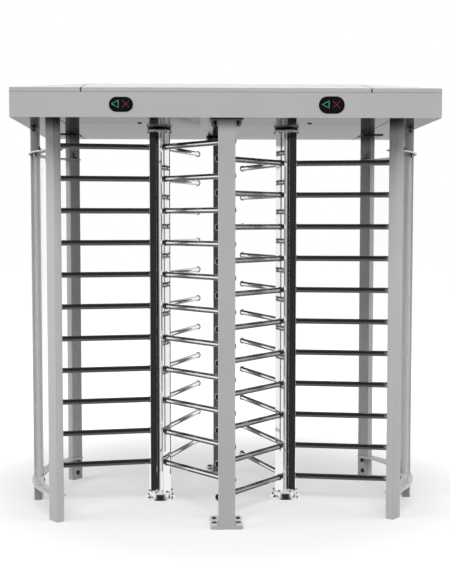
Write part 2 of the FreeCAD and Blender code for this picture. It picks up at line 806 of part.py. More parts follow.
indicator_x = {side: sign * size("%s_indicator_offset" % side) for side, sign in SIDES.items()}
indicator_z = soffit + wall_height / 2 + size("indicator_lift")
indicator_sizes = {side: (size("%s_indicator_width" % side), size("%s_indicator_tall" % side))
                   for side in SIDES}
window_tools = []
indicator_face = -canopy_half_y - size("indicator_proud")
for side in SIDES:
    width, tall = indicator_sizes[side]
    fit = 2 * float(size("indicator_fit"))
    window = stadium(float(width) + fit, float(tall) + fit, float(-canopy_half_y), float(sheet_t),
                     float(indicator_x[side]), float(indicator_z))
    window_tools.append(frozen("%s_indicator_window" % side, window))
    lens = stadium(float(width), float(tall), float(indicator_face),
                   float(size("indicator_proud") + sheet_t),
                   float(indicator_x[side]), float(indicator_z))
    lens_front = frozen("%s_indicator_lens" % side, lens)
    margin = 2 * size("indicator_body_margin")
    body = block("%s_indicator_body" % side, width + margin, size("indicator_body_depth"), tall + margin,
                 indicator_x[side], sheet_t - canopy_half_y + size("indicator_body_depth") / 2,
                 indicator_z - (tall + margin) / 2)
    node("%s_indicator" % side, fuse("%s_indicator" % side, [lens_front, body]))

front_sheet = x_sheet("front_fascia", -1, size("front_return_depth"))
rear_sheet = x_sheet("rear_fascia", 1, size("rear_return_depth"))
node("front_fascia", cut("front_fascia", front_sheet, window_tools + top_hole_tools["front"]))
node("rear_fascia", cut("rear_fascia", rear_sheet, top_hole_tools["rear"]))

end_run = rear_return_edge - front_return_edge - 2 * size("seam_gap")
end_middle = (rear_return_edge + front_return_edge) / 2
for side, sign in SIDES.items():
    label = "%s_end_fascia" % side
    wall = block(label + "_wall", sheet_t, canopy_depth - 2 * sheet_t, wall_height - sheet_t,
                 sign * (canopy_half_x - sheet_t / 2), as_size(0.0), soffit + sheet_t)
    under = block(label + "_return", size("end_return_width"), end_run, sheet_t,
                  sign * (canopy_half_x - size("end_return_width") / 2), end_middle, soffit)
    ledge = block(label + "_ledge", size("ledge_width"), canopy_depth - 2 * size("ledge_width"),
                  sheet_t, sign * (canopy_half_x - size("ledge_width") / 2), as_size(0.0),
                  seam_height - sheet_t)
    # the wall stands on the front and rear returns, its ledge meets theirs
    folded = fuse(label + "_folded", [wall, under, ledge])
    corner = [block("%s_corner_%d" % (label, step), sheet_t, size("ledge_width") - sheet_t, sheet_t,
                    sign * (canopy_half_x - sheet_t / 2),
                    step * (canopy_half_y - sheet_t - (size("ledge_width") - sheet_t) / 2),
                    seam_height - sheet_t)
              for step in (-1, 1)]
    node(label, cut(label, folded, corner))

panel_half_x = end_return_edge - size("seam_gap")
panel_length = 2 * panel_half_x
collar_hole = size("collar_diameter") / 2 + size("collar_panel_gap")
cam_y = front_return_edge + size("seam_gap") + size("cam_inset")
cam_x = (rotor_spacing / 2 + size("head_beam_offset") - tube_width / 2 - size("cam_barrel") / 2
         - size("cam_side_gap"))
soffit_sheet = block("center_soffit_sheet", panel_length, end_run, sheet_t, as_size(0.0), end_middle, soffit)
soffit_holes = []
for side, sign in SIDES.items():
    soffit_holes.append(rod("%s_collar_hole" % side, collar_hole, sheet_t, rotor_x[side], rotor_y, soffit))
    soffit_holes.append(rod("%s_cam_hole" % side, size("cam_barrel") / 2 + size("cam_fit"), sheet_t,
                            sign * cam_x, cam_y, soffit))
node("center_soffit_panel", cut("center_soffit_panel", soffit_sheet, soffit_holes))


def hip_solid(label, inset, drop):
    """The lid's outer or inner form: an upright skirt under a shallow hipped roof."""
    skirt_x = canopy_width - 2 * inset
    skirt_y = canopy_depth - 2 * inset
    skirt = block(label + "_skirt", skirt_x, skirt_y, size("lid_skirt") - drop, as_size(0.0),
                  as_size(0.0), seam_height)
    roof = doc.addObject("Part::Wedge", label + "_roof")
    # the wedge's own Y is up, so it is stood on the skirt with a quarter turn about X
    for name, value in (("Xmin", 0.0), ("Ymin", 0.0), ("Zmin", 0.0), ("X2min", size("lid_slope_length")),
                        ("Z2min", size("lid_slope_length")), ("Xmax", skirt_x), ("Ymax", size("lid_rise")),
                        ("Zmax", skirt_y), ("X2max", skirt_x - size("lid_slope_length")),
                        ("Z2max", skirt_y - size("lid_slope_length"))):
        bind(roof, name, value)
    place(roof, -skirt_x / 2, skirt_y / 2, fascia_top - drop, 90.0, Vector(1, 0, 0))
    return fuse(label, [skirt, roof])


lid_shell = cut("lid_shell", hip_solid("lid_outside", as_size(0.0), as_size(0.0)),
                [hip_solid("lid_inside", sheet_t, sheet_t)])
slit_x = canopy_half_x - size("lid_slope_length")
lid_room = size("lid_skirt") + size("lid_rise")
end_lid_length = canopy_half_x - slit_x - size("lid_gap") / 2
lid_spans = {"left": (-canopy_half_x + end_lid_length / 2, end_lid_length),
             "center": (as_size(0.0), 2 * (slit_x - size("lid_gap") / 2)),
             "right": (canopy_half_x - end_lid_length / 2, end_lid_length)}
for spot, (middle_x, length) in lid_spans.items():
    name = "%s_lid" % spot
    window = block(name + "_span", length, canopy_depth, lid_room, middle_x, as_size(0.0), seam_height)
    lid = doc.addObject("Part::Common", name)
    lid.Base = lid_shell
    lid.Tool = window
    node(name, lid)

# Indicator marks: a green arrow outline and a red cross on each lens
mark_z = indicator_z + size("mark_lift")
mark_y = indicator_face - size("mark_thickness")
arrow_half = float(size("arrow_height")) / 2
arrow_length = float(size("arrow_length"))
arrow_inradius = arrow_half * arrow_length / (arrow_half + math.hypot(arrow_length, arrow_half))


def triangle(back_x, inset):
    """A flat triangle that points left, with every side moved in by the inset."""
    shrink = 1 - inset / arrow_inradius
    inner_back_x = back_x - inset
    tip = Vector(inner_back_x - arrow_length * shrink, float(mark_y), float(mark_z))
    upper = Vector(inner_back_x, float(mark_y), float(mark_z) + arrow_half * shrink)
    lower = Vector(inner_back_x, float(mark_y), float(mark_z) - arrow_half * shrink)
    wire = Part.makePolygon([tip, upper, lower, tip])
    return Part.Face(wire).extrude(Vector(0, float(size("mark_thickness")), 0))


arrows = []
crosses = []
for side in SIDES:
    arrow_back = float(indicator_x[side] - size("arrow_shift")) + arrow_length / 2
    outline = triangle(arrow_back, 0.0).cut(triangle(arrow_back, float(size("arrow_stroke"))))
    arrows.append(frozen("%s_arrow" % side, outline))
    cross_x = indicator_x[side] + size("cross_shift")
    strokes = []
    for lean in (45.0, -45.0):
        stroke_box = doc.addObject("Part::Box", "%s_cross_stroke" % side)
        bind(stroke_box, "Length", size("cross_size"))
        bind(stroke_box, "Width", size("mark_thickness"))
        bind(stroke_box, "Height", size("cross_stroke"))
        half_long = size("cross_size") / 2
        half_thin = size("cross_stroke") / 2
        corner_x = cross_x - half_long * cosine(lean) - half_thin * sine(lean)
        corner_z = mark_z + half_long * sine(lean) - half_thin * cosine(lean)
        strokes.append(place(stroke_box, corner_x, mark_y, corner_z, lean, Vector(0, 1, 0)))
    crosses.append(fuse("%s_cross" % side, strokes))
node("indicator_arrows", bundle("indicator_arrows", arrows))
node("indicator_crosses", bundle("indicator_crosses", crosses))

# Cam locks: quarter-turn latches that hold the soffit panel over the front return's lip
cam_base = soffit + sheet_t + size("cam_lip_gap")
for side, sign in SIDES.items():
    name = "%s_cam_lock" % side
    x = sign * cam_x
    head = rod(name + "_head", size("cam_head") / 2, size("cam_head_height"), x, cam_y,
               soffit - size("cam_head_height"))
    barrel = rod(name + "_barrel", size("cam_barrel") / 2, size("cam_barrel_height"), x, cam_y, soffit)
    cam_reach = size("cam_length") - size("cam_width") / 2
    cam = block(name + "_cam", size("cam_width"), size("cam_length"), size("cam_thickness"),
                x, cam_y + size("cam_width") / 2 - size("cam_length") / 2, cam_base)
    slot = block(name + "_key_slot", size("cam_width") / 2, size("cam_head_height"),
                 size("cam_head_height") / 2, x, cam_y, soffit - size("cam_head_height"))
    node(name, cut(name, fuse(name + "_blank", [head, barrel, cam]), [slot]))

# Rotor heads, one over each column
base_top = size("base_thickness")
boss_top = base_top + size("boss_height")
plate_low = boss_top + size("washer_thickness")
tube_low = plate_low + size("end_plate_thickness")
collar_low = soffit - size("collar_drop")
plate_high_top = collar_low - size("collar_gap")
tube_high = plate_high_top - size("end_plate_thickness")
head_plate_top = beam_top + size("head_plate_thickness")
disc_base = head_plate_top + size("disc_gap")
lever_mid_z = disc_base + size("disc_thickness") / 2
lug_radius = size("disc_diameter") / 2 + size("lug_reach")
lever_line = lug_radius + size("nose_gap") + size("nose_length")
bar_run = tube_high - size("first_bar_height") - size("top_bar_margin")
bar_pitch = bar_run / (int(SIZES["bar_count"]) - 1)

head_plates = []
housings = []
bearings = []
solenoids = []
floor_bases = []
floor_screws = []
for side, sign in SIDES.items():
    x = rotor_x[side]
    y = rotor_y
    bore = size("collar_diameter") / 2
    journal = size("journal_diameter") / 2
    # the head plate bridges the two head beams and carries the lever's pivot pin
    plate = block("%s_head_plate_blank" % side, size("head_plate_width"), size("head_plate_depth"),
                  size("head_plate_thickness"), x, y + size("head_plate_shift"), beam_top)
    plate_hole = rod("%s_head_plate_hole" % side, size("bearing_diameter") / 2 - size("bearing_shoulder"),
                     size("head_plate_thickness"), x, y, beam_top)
    pivot_x = x + sign * size("lever_reach")
    pivot_y = y + lever_line
    collar_radius = size("pivot_diameter") / 2 + size("pivot_collar_width")
    collar = rod("%s_pivot_collar" % side, collar_radius, size("disc_gap"), pivot_x, pivot_y, head_plate_top)
    pin_height = size("disc_gap") + size("disc_thickness") + size("pivot_stickout_length")
    pin = rod("%s_pivot_shank" % side, size("pivot_diameter") / 2, pin_height,
              pivot_x, pivot_y, head_plate_top)
    drilled_plate = cut("%s_drilled_head_plate" % side, plate, [plate_hole])
    head_plates.append(fuse("%s_head_plate" % side, [drilled_plate, collar, pin]))
    # the bearing housing hangs under the plate and shows as the dark collar below the soffit
    housing = rod("%s_housing_skin" % side, bore, beam_top - collar_low, x, y, collar_low)
    bearing_base = beam_top - size("bearing_width")
    seat = rod("%s_housing_seat" % side, size("bearing_diameter") / 2, size("bearing_width"),
               x, y, bearing_base)
    throat = rod("%s_housing_throat" % side, journal + size("throat_gap"), beam_top - collar_low,
                 x, y, collar_low)
    housings.append(cut("%s_housing" % side, housing, [seat, throat]))
    ring = rod("%s_bearing_ring" % side, size("bearing_diameter") / 2, size("bearing_width"),
               x, y, bearing_base)
    ring_bore = rod("%s_bearing_bore" % side, journal + size("running_clearance"), size("bearing_width"),
                    x, y, bearing_base)
    bearings.append(cut("%s_bearing" % side, ring, [ring_bore]))
    # the lever: boss, arm and a nose that swings into the path of the lock disc's lugs
    name = "%s_lock_lever" % side
    thick = size("disc_thickness")
    arm_length = size("lever_reach") + size("nose_width") / 2
    arm = block(name + "_arm", arm_length, size("lever_width"), thick,
                pivot_x - sign * arm_length / 2, pivot_y, disc_base)
    boss = rod(name + "_boss", size("lever_boss") / 2, thick, pivot_x, pivot_y, disc_base)
    nose = block(name + "_nose", size("nose_width"), size("nose_length"), thick,
                 x, pivot_y - size("nose_length") / 2, disc_base)
    eye = rod(name + "_eye", size("pivot_diameter") / 2 + size("running_clearance"), thick,
              pivot_x, pivot_y, disc_base)
    node(name, cut(name, fuse(name + "_blank", [arm, boss, nose]), [eye]))
    # the solenoid's plunger pushes the arm between the pivot and the nose
    push_x = x + sign * size("plunger_offset")
    arm_back = pivot_y + size("lever_width") / 2
    plunger_start = arm_back + size("plunger_gap")
    name = "%s_plunger" % side
    node(name, lying_rod(name, size("plunger_diameter") / 2, size("plunger_length"),
                         push_x, plunger_start, lever_mid_z, 90.0))
    case_start = arm_back + size("solenoid_gap")
    case = block("%s_solenoid_case" % side, size("solenoid_width"), size("solenoid_length"),
                 size("solenoid_height"), push_x, case_start + size("solenoid_length") / 2, head_plate_top)
    bore_radius = size("plunger_diameter") / 2 + size("plunger_clearance")
    bore_depth = size("plunger_length") - size("solenoid_gap") + size("solenoid_bore_gap")
    case_bore = lying_rod("%s_solenoid_bore" % side, bore_radius, bore_depth,
                          push_x, case_start, lever_mid_z, 90.0)
    solenoids.append(cut("%s_solenoid" % side, case, [case_bore]))
    # floor bearing: flange, boss, thrust face and spigot turned in one piece, and its anchor screws
    disc = rod("%s_base_disc" % side, base_radius, base_top, x, y, 0.0)
    boss = rod("%s_base_boss" % side, size("boss_diameter") / 2, boss_top, x, y, 0.0)
    washer = rod("%s_base_washer" % side, size("washer_diameter") / 2, plate_low, x, y, 0.0)
    spigot = rod("%s_base_spigot" % side, size("spigot_diameter") / 2, size("spigot_height"), x, y, 0.0)
    turned = fuse("%s_floor_base_blank" % side, [disc, boss, washer, spigot])
    screw_holes = []
    for index in range(int(SIZES["base_screw_count"])):
        heading = 30.0 + index * 360.0 / int(SIZES["base_screw_count"])
        screw_x, screw_y = along(x, y, heading, base_screw_radius)
        tag = "%s_base_screw_%d" % (side, index)
        screw_holes.append(rod(tag + "_hole", size("base_screw_shank") / 2 + size("bolt_clearance"),
                               base_top, screw_x, screw_y, 0.0))
        shank = rod(tag + "_shank", size("base_screw_shank") / 2, base_top, screw_x, screw_y, 0.0)
        head = rod(tag + "_head", size("base_screw_head") / 2, size("base_screw_head") / 2,
                   screw_x, screw_y, base_top)
        floor_screws.append(fuse(tag, [shank, head]))
    floor_bases.append(cut("%s_floor_base" % side, turned, screw_holes))
node("head_plates", bundle("head_plates", head_plates))
node("bearing_housings", bundle("bearing_housings", housings))
node("upper_bearings", bundle("upper_bearings", bearings))
node("solenoids", bundle("solenoids", solenoids))
node("floor_bases", bundle("floor_bases", floor_bases))
node("floor_base_screws", bundle("floor_base_screws", floor_screws))
node("control_box", block("control_box", size("control_box_width"), size("control_box_depth"),
                          size("control_box_height"), as_size(0.0), size("control_box_depth"), beam_top))


def make_end_plate(label):
    """The round plate at each end of a column, padded from a sketch, with its screw holes."""
    body = doc.addObject("PartDesign::Body", label)
    outline = body.newObject("Sketcher::SketchObject", label + "_outline")
    plane = [item for item in body.Origin.OriginFeatures if item.Role == "XY_Plane"][0]
    outline.AttachmentSupport = [(plane, "")]
    outline.MapMode = "FlatFace"
    center = Vector(0, 0, 0)
    up = Vector(0, 0, 1)
    outline.addGeometry(Part.Circle(center, up, float(end_plate_radius)))
    outline.addConstraint(Sketcher.Constraint("Radius", 0, float(end_plate_radius)))
    outline.setExpression("Constraints[0]", end_plate_radius.formula)
    outline.addGeometry(Part.Circle(center, up, float(size("shaft_diameter")) / 2))
    outline.addConstraint(Sketcher.Constraint("Radius", 1, float(size("shaft_diameter")) / 2))
    outline.setExpression("Constraints[1]", (size("shaft_diameter") / 2).formula)
    pad = body.newObject("PartDesign::Pad", label + "_pad")
    pad.Profile = outline
    bind(pad, "Length", size("end_plate_thickness"))
    body.Tip = pad
    return body


def screw_headings(side):
    """End plate screws sit in front of each wing tube and midway between them."""
    count = int(SIZES["wing_count"])
    return [wing_heading(side, 0) + step * 180.0 / count for step in range(2 * count)]


def make_rotor(side):
    """Column of three tubes between round end plates, the bars, their caps and the shaft."""
    x = rotor_x[side]
    y = rotor_y
    wall = size("wing_tube_wall")
    tube_mid = wing_face - size("wing_tube_depth") / 2
    column_height = tube_high - tube_low
    drop = as_size(0.0) if side == "left" else bar_pitch / 2
    bar_length = size("wing_length") - size("cap_thickness") - wing_face
    tubes = []
    bars = []
    caps = []
    for wing in range(int(SIZES["wing_count"])):
        heading = wing_heading(side, wing)
        tube_x, tube_y = along(x, y, heading, tube_mid)
        tag = "%s_wing_%d" % (side, wing)
        skin = block(tag + "_skin", size("wing_tube_depth"), size("wing_tube_width"), column_height,
                     tube_x, tube_y, tube_low, heading)
        bore = block(tag + "_bore", size("wing_tube_depth") - 2 * wall, size("wing_tube_width") - 2 * wall,
                     column_height, tube_x, tube_y, tube_low, heading)
        tubes.append(cut(tag + "_tube", skin, [bore]))
        root_x, root_y = along(x, y, heading, wing_face)
        tip_x, tip_y = along(x, y, heading, size("wing_length") - size("cap_thickness"))
        plug_x, plug_y = along(tip_x, tip_y, heading, -size("cap_plug_length"))
        for level in range(int(SIZES["bar_count"])):
            z = size("first_bar_height") - drop + level * bar_pitch
            bar_tag = "%s_bar_%d" % (tag, level)
            skin = lying_rod(bar_tag + "_skin", size("bar_diameter") / 2, bar_length,
                             root_x, root_y, z, heading)
            bore = lying_rod(bar_tag + "_bore", size("bar_diameter") / 2 - size("bar_wall"), bar_length,
                             root_x, root_y, z, heading)
            bars.append(cut(bar_tag, skin, [bore]))
            flange = lying_rod(bar_tag + "_cap_flange", size("cap_diameter") / 2, size("cap_thickness"),
                               tip_x, tip_y, z, heading)
            plug = lying_rod(bar_tag + "_cap_plug",
                             size("bar_diameter") / 2 - size("bar_wall") - size("cap_clearance"),
                             size("cap_plug_length"), plug_x, plug_y, z, heading)
            caps.append(fuse(bar_tag + "_cap", [flange, plug]))
    node("%s_wing_tubes" % side, bundle("%s_wing_tubes" % side, tubes))
    node("%s_rotor_bars" % side, bundle("%s_rotor_bars" % side, bars))
    node("%s_bar_caps" % side, bundle("%s_bar_caps" % side, caps))
    plates = []
    screws = []
    screw_head_height = size("plate_screw_head") / 2
    # the screw heads sit on the faces toward the tubes
    plate_ends = [("lower", plate_low, tube_low), ("upper", tube_high, tube_high - screw_head_height)]
    for end, base, head_base in plate_ends:
        plate = make_end_plate("%s_%s_end_plate_blank" % (side, end))
        place(plate, x, y, base)
        holes = []
        for index, heading in enumerate(screw_headings(side)):
            screw_x, screw_y = along(x, y, heading, plate_screw_radius)
            tag = "%s_%s_plate_screw_%d" % (side, end, index)
            holes.append(rod(tag + "_hole", size("plate_screw_shank") / 2 + size("bolt_clearance"),
                             size("end_plate_thickness"), screw_x, screw_y, base))
            shank = rod(tag + "_shank", size("plate_screw_shank") / 2, size("end_plate_thickness"),
                        screw_x, screw_y, base)
            head = rod(tag + "_head", size("plate_screw_head") / 2, screw_head_height,
                       screw_x, screw_y, head_base)
            screws.append(fuse(tag, [shank, head]))
        plates.append(cut("%s_%s_end_plate" % (side, end), plate, holes))
    node("%s_end_plates" % side, bundle("%s_end_plates" % side, plates))
    node("%s_plate_screws" % side, bundle("%s_plate_screws" % side, screws))
    # hollow shaft with a solid journal on top; its narrow foot runs on the floor spigot
    shaft_top = plate_high_top
    stem = rod("%s_shaft_stem" % side, size("shaft_diameter") / 2, shaft_top - plate_low, x, y, plate_low)
    foot_bore = rod("%s_shaft_foot_bore" % side, size("spigot_diameter") / 2 + size("running_clearance"),
                    size("foot_bearing_height"), x, y, plate_low)
    hollow = rod("%s_shaft_hollow" % side, size("shaft_bore") / 2,
                 shaft_top - plate_low - size("foot_bearing_height") - size("shaft_seat"),
                 x, y, plate_low + size("foot_bearing_height"))
    journal = rod("%s_shaft_journal" % side, size("journal_diameter") / 2, size("journal_height"),
                  x, y, shaft_top)
    tube = cut("%s_shaft_tube" % side, stem, [foot_bore, hollow])
    node("%s_rotor_shaft" % side, fuse("%s_rotor_shaft" % side, [tube, journal]))
    # lock disc with one lug per wing
    disc = rod("%s_disc_blank" % side, size("disc_diameter") / 2, size("disc_thickness"), x, y, disc_base)
    lugs = []
    for wing in range(int(SIZES["wing_count"])):
        heading = size("lug_lag_angle") + 90.0 + wing * 360.0 / int(SIZES["wing_count"])
        lug_x, lug_y = along(x, y, heading, lug_radius / 2)
        lugs.append(block("%s_lug_%d" % (side, wing), lug_radius, size("lug_width"),
                          size("disc_thickness"), lug_x, lug_y, disc_base, heading))
    disc_bore = rod("%s_disc_bore" % side, size("journal_diameter") / 2, size("disc_thickness"),
                    x, y, disc_base)
    node("%s_lock_disc" % side, cut("%s_lock_disc" % side, fuse("%s_disc_lugs" % side, [disc] + lugs),
                                    [disc_bore]))


for side in SIDES:
    make_rotor(side)

doc.recompute()

failed = [item.Label for item in doc.Objects
          if any(word in str(item.State) for word in ("Invalid", "Error"))]
if failed:
    raise RuntimeError("not computed: %s" % ", ".join(failed))
for name, thing in nodes.items():
    if thing.Shape.isNull() or not thing.Shape.isValid() or not thing.Shape.Solids:
        raise RuntimeError("bad shape: %s" % name)

os.makedirs("parts", exist_ok=True)
for name, thing in nodes.items():
    thing.Shape.exportStep("parts/%s.step" % name)
print("%d nodes, %d solids" % (len(nodes), sum(len(thing.Shape.Solids) for thing in nodes.values())))
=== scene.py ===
import bmesh
import bpy
import math
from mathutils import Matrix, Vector


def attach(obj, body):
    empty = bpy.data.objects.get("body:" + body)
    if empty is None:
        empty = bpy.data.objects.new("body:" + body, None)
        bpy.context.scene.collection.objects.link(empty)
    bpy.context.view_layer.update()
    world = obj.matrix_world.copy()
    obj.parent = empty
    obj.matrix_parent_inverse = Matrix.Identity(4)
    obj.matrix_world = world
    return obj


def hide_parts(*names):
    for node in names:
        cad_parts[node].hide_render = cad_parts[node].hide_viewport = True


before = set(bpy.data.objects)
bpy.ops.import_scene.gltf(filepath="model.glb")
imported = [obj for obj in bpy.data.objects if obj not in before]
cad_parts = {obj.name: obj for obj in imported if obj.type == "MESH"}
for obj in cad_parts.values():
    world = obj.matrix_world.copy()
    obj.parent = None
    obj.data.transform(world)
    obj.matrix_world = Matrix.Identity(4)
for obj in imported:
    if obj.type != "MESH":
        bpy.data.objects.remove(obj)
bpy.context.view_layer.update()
bpy.ops.object.select_all(action="DESELECT")
scene = bpy.context.scene
scene.view_settings.view_transform = "Standard"

# Side posts: rectangular steel tube, drawn with rounded corners and sprayed silver, semi gloss.
# Three stand round each lane, over sockets in the floor and in the canopy.
# The front and rear posts' spray carries painted shade: it darkens toward the canopy, most in the band just
# under it. The rear posts' top plates and the sockets are sprayed too.


def split_axes(tree, source, output):
    """The X, Y and Z of a place on the piece, of the way its surface faces, or of a view into the room."""
    whole = tree.nodes.new(source)
    parts = tree.nodes.new("ShaderNodeSeparateXYZ")
    tree.links.new(whole.outputs[output], parts.inputs["Vector"])
    return parts.outputs


def graded(tree, source, start, end, low, high, smooth=False):
    """A level that goes from low to high while the source goes from start to end."""
    step = tree.nodes.new("ShaderNodeMapRange")
    if smooth:
        step.interpolation_type = "SMOOTHSTEP"
    step.inputs["From Min"].default_value = start
    step.inputs["From Max"].default_value = end
    step.inputs["To Min"].default_value = low
    step.inputs["To Max"].default_value = high
    tree.links.new(source, step.inputs["Value"])
    return step.outputs["Result"]


def clouded(tree, place, scale, detail):
    """A soft random pattern over the place it is given."""
    pattern = tree.nodes.new("ShaderNodeTexNoise")
    pattern.inputs["Scale"].default_value = scale
    pattern.inputs["Detail"].default_value = detail
    tree.links.new(place, pattern.inputs["Vector"])
    return pattern.outputs["Fac"]


def two_toned(tree, amount, low, high, low_end=0.0, high_end=1.0):
    """A colour between two tones, by an amount."""
    tone = tree.nodes.new("ShaderNodeValToRGB")
    tone.color_ramp.elements[0].position = low_end
    tone.color_ramp.elements[0].color = (*low, 1)
    tone.color_ramp.elements[1].position = high_end
    tone.color_ramp.elements[1].color = (*high, 1)
    tree.links.new(amount, tone.inputs["Fac"])
    return tone.outputs["Color"]


def overlaid(material, colour, amount):
    """Turns the base colour of a finish into another colour, by an amount."""
    tree = material.node_tree
    base = tree.nodes["Principled BSDF"].inputs["Base Color"]
    coat = tree.nodes.new("ShaderNodeMix")
    coat.data_type = "RGBA"
    coat.inputs["B"].default_value = (*colour, 1)
    tree.links.new(amount, coat.inputs["Factor"])
    tree.links.new(base.links[0].from_socket, coat.inputs["A"])
    tree.links.new(coat.outputs["Result"], base)


def sprayed_metal(name, colour, roughness, metal, peel=0.02, cloud=0.02):
    """A sprayed metallic finish with slight clouding and a fine peel."""
    material = bpy.data.materials.new(name)
    material.use_nodes = True
    tree = material.node_tree
    shader = tree.nodes["Principled BSDF"]
    shader.inputs["Metallic"].default_value = metal
    place = tree.nodes.new("ShaderNodeTexCoord").outputs["Object"]
    low = [channel * (1 - cloud) for channel in colour]
    high = [min(1.0, channel * (1 + cloud)) for channel in colour]
    clouds = clouded(tree, place, scale=2.5, detail=3.0)
    tree.links.new(two_toned(tree, clouds, low, high, low_end=0.3, high_end=0.7), shader.inputs["Base Color"])
    grain = clouded(tree, place, scale=420.0, detail=2.0)
    spread = graded(tree, grain, start=0.0, end=1.0, low=roughness - 0.04, high=roughness + 0.04)
    tree.links.new(spread, shader.inputs["Roughness"])
    bump = tree.nodes.new("ShaderNodeBump")
    bump.inputs["Strength"].default_value = peel
    bump.inputs["Distance"].default_value = 0.001
    tree.links.new(grain, bump.inputs["Height"])
    tree.links.new(bump.outputs["Normal"], shader.inputs["Normal"])
    return material


def finish(node, material):
    """Gives a CAD node its finish."""
    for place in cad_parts[node].material_slots:
        place.material = material


def pick_edges(piece, wanted):
    """Selects only the edges that meet a condition, on a piece in edit mode."""
    shape = bmesh.from_edit_mesh(piece.data)
    for edge in shape.edges:
        edge.select_set(wanted(edge))
    shape.select_flush_mode()


def pick_faces(piece, wanted):
    """Selects only the faces that meet a condition, on a piece in edit mode."""
    bpy.ops.mesh.select_mode(type="FACE")
    bpy.ops.mesh.select_all(action="DESELECT")
    shape = bmesh.from_edit_mesh(piece.data)
    for face in shape.faces:
        face.select_set(wanted(face))


def is_upright(edge):
    """Whether an edge runs up a tube's wall."""
    return abs(edge.verts[0].co.z - edge.verts[1].co.z) > 0.01


def is_level(face):
    """Whether a face is an end of the piece."""
    return abs(face.normal.z) > 0.9


def rounded_tube(width, depth, low, high, wall, corner):
    """A drawn rectangular tube with rounded corners, open at both ends, standing at the middle."""
    bpy.ops.mesh.primitive_cube_add(size=1, location=(0, 0, (low + high) / 2))
    tube = bpy.context.object
    tube.scale = (width, depth, high - low)
    bpy.ops.object.transform_apply(location=True, rotation=True, scale=True)
    bpy.ops.object.mode_set(mode="EDIT")
    bpy.ops.mesh.select_mode(type="FACE")
    pick_edges(tube, is_upright)
    bpy.ops.mesh.bevel(offset=corner, segments=4)
    pick_faces(tube, is_level)
    bpy.ops.mesh.inset(thickness=wall, use_individual=True)
    bpy.ops.mesh.bridge_edge_loops()
    bpy.ops.mesh.select_all(action="SELECT")
    bpy.ops.mesh.normals_make_consistent(inside=False)
    bpy.ops.mesh.select_mode(type="VERT")
    bpy.ops.object.mode_set(mode="OBJECT")
    bpy.ops.object.shade_smooth_by_angle(angle=math.radians(30))
    return tube


def set_out(pattern, name, spots):
    """Copies a finished piece to each place and turn, and joins the copies into one piece."""
    copies = []
    for place, turn in spots:
        copy = pattern.copy()
        copy.data = pattern.data.copy()
        copy.location = place
        copy.rotation_euler = turn
        scene.collection.objects.link(copy)
        copies.append(copy)
    bpy.ops.object.select_all(action="DESELECT")
    for copy in copies:
        copy.select_set(True)
    bpy.context.view_layer.objects.active = copies[0]
    if len(copies) > 1:
        bpy.ops.object.join()
    bpy.ops.object.transform_apply(location=True, rotation=True, scale=True)
    piece = bpy.context.object
    piece.name = name
    piece.data.name = name
    return piece


def discard(pattern):
    """Removes the pattern once its copies stand in place."""
    bpy.data.objects.remove(pattern, do_unlink=True)
    bpy.ops.object.select_all(action="DESELECT")


rotor_x = {"left": -0.363, "right": 0.363}
rotor_y = -0.05
canopy_underside = 2.13
post_width = 0.08
post_depth = 0.045
post_wall = 0.003
post_corner = 0.005
post_circle = {"front": 0.716, "outer": 0.705, "rear": 0.716}
post_turn = {"front": -40.5, "outer": 0.0, "rear": 40.5}
silver = (0.47, 0.47, 0.48)
canopy_shade_grey = (0.07, 0.07, 0.07)
post_finish = sprayed_metal("post spray", silver, roughness=0.32, metal=0.15)
canopy_shaded_finish = sprayed_metal("post spray with painted canopy shade", silver, roughness=0.32, metal=0.15)
tube_tree = canopy_shaded_finish.node_tree
tube_height = split_axes(tube_tree, "ShaderNodeTexCoord", "Object")["Z"]
# Painted shade under the canopy: a near-black band over the last 8 cm below it, a dark joint at the very top
# with painted shadow below, and a slow darkening from 1.3 m up.
overlaid(canopy_shaded_finish, canopy_shade_grey,
         graded(tube_tree, tube_height, start=2.05, end=canopy_underside, low=0.0, high=1.0, smooth=True))
overlaid(canopy_shaded_finish, (0, 0, 0), graded(tube_tree, tube_height, start=1.3, end=2.1, low=0.0, high=0.14))
finish("side_post_sockets", post_finish)
finish("rear_post_top_plates", canopy_shaded_finish)
side_post = rounded_tube(post_width, post_depth, low=0.0, high=canopy_underside, wall=post_wall,
                         corner=post_corner)
post_outward = {}
for side in ("left", "right"):
    for spot, turn in post_turn.items():
        outward = math.radians(180 - turn if side == "left" else turn)
        post_outward[side, spot] = outward
        place = (rotor_x[side] + post_circle[spot] * math.cos(outward),
                 rotor_y + post_circle[spot] * math.sin(outward), 0)
        node = "%s_%s_post" % (side, spot)
        post = set_out(side_post, node + "_tube", [(place, (0, 0, outward + math.pi / 2))])
        post.data.materials.append(post_finish if spot == "outer" else canopy_shaded_finish)
        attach(post, "frame")
        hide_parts(node)
discard(side_post)

# Centre posts: wider rectangular tube between a foot plate and a top plate, held by small angles.
# The front one, the foot plates and the angles are sprayed like the side posts, and the front one and the
# angles carry the same painted shade toward the canopy.
# The rear one has a darker, more metallic copy of the spray: painted shade for its place deep under the
# canopy.
center_post_width = 0.088
center_post_depth = 0.05
center_post_y = {"front": -0.690014, "rear": 0.537014}
foot_plate_top = 0.015
top_plate_underside = 2.122
# Painted shade: a darker copy of the post spray for the rear centre post under the canopy.
shade_dimmed_finish = sprayed_metal("post spray darkened as painted shade", (0.37, 0.37, 0.38), roughness=0.3, metal=0.7)
finish("center_foot_plates", post_finish)
finish("center_post_angles", canopy_shaded_finish)
center_post = rounded_tube(center_post_width, center_post_depth, low=foot_plate_top,
                           high=top_plate_underside, wall=post_wall, corner=post_corner)
for spot, material in (("front", canopy_shaded_finish), ("rear", shade_dimmed_finish)):
    node = "%s_center_post" % spot
    post = set_out(center_post, node + "_tube", [((0, center_post_y[spot], 0), (0, 0, 0))])
    post.data.materials.append(material)
    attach(post, "frame")
    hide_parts(node)
discard(center_post)

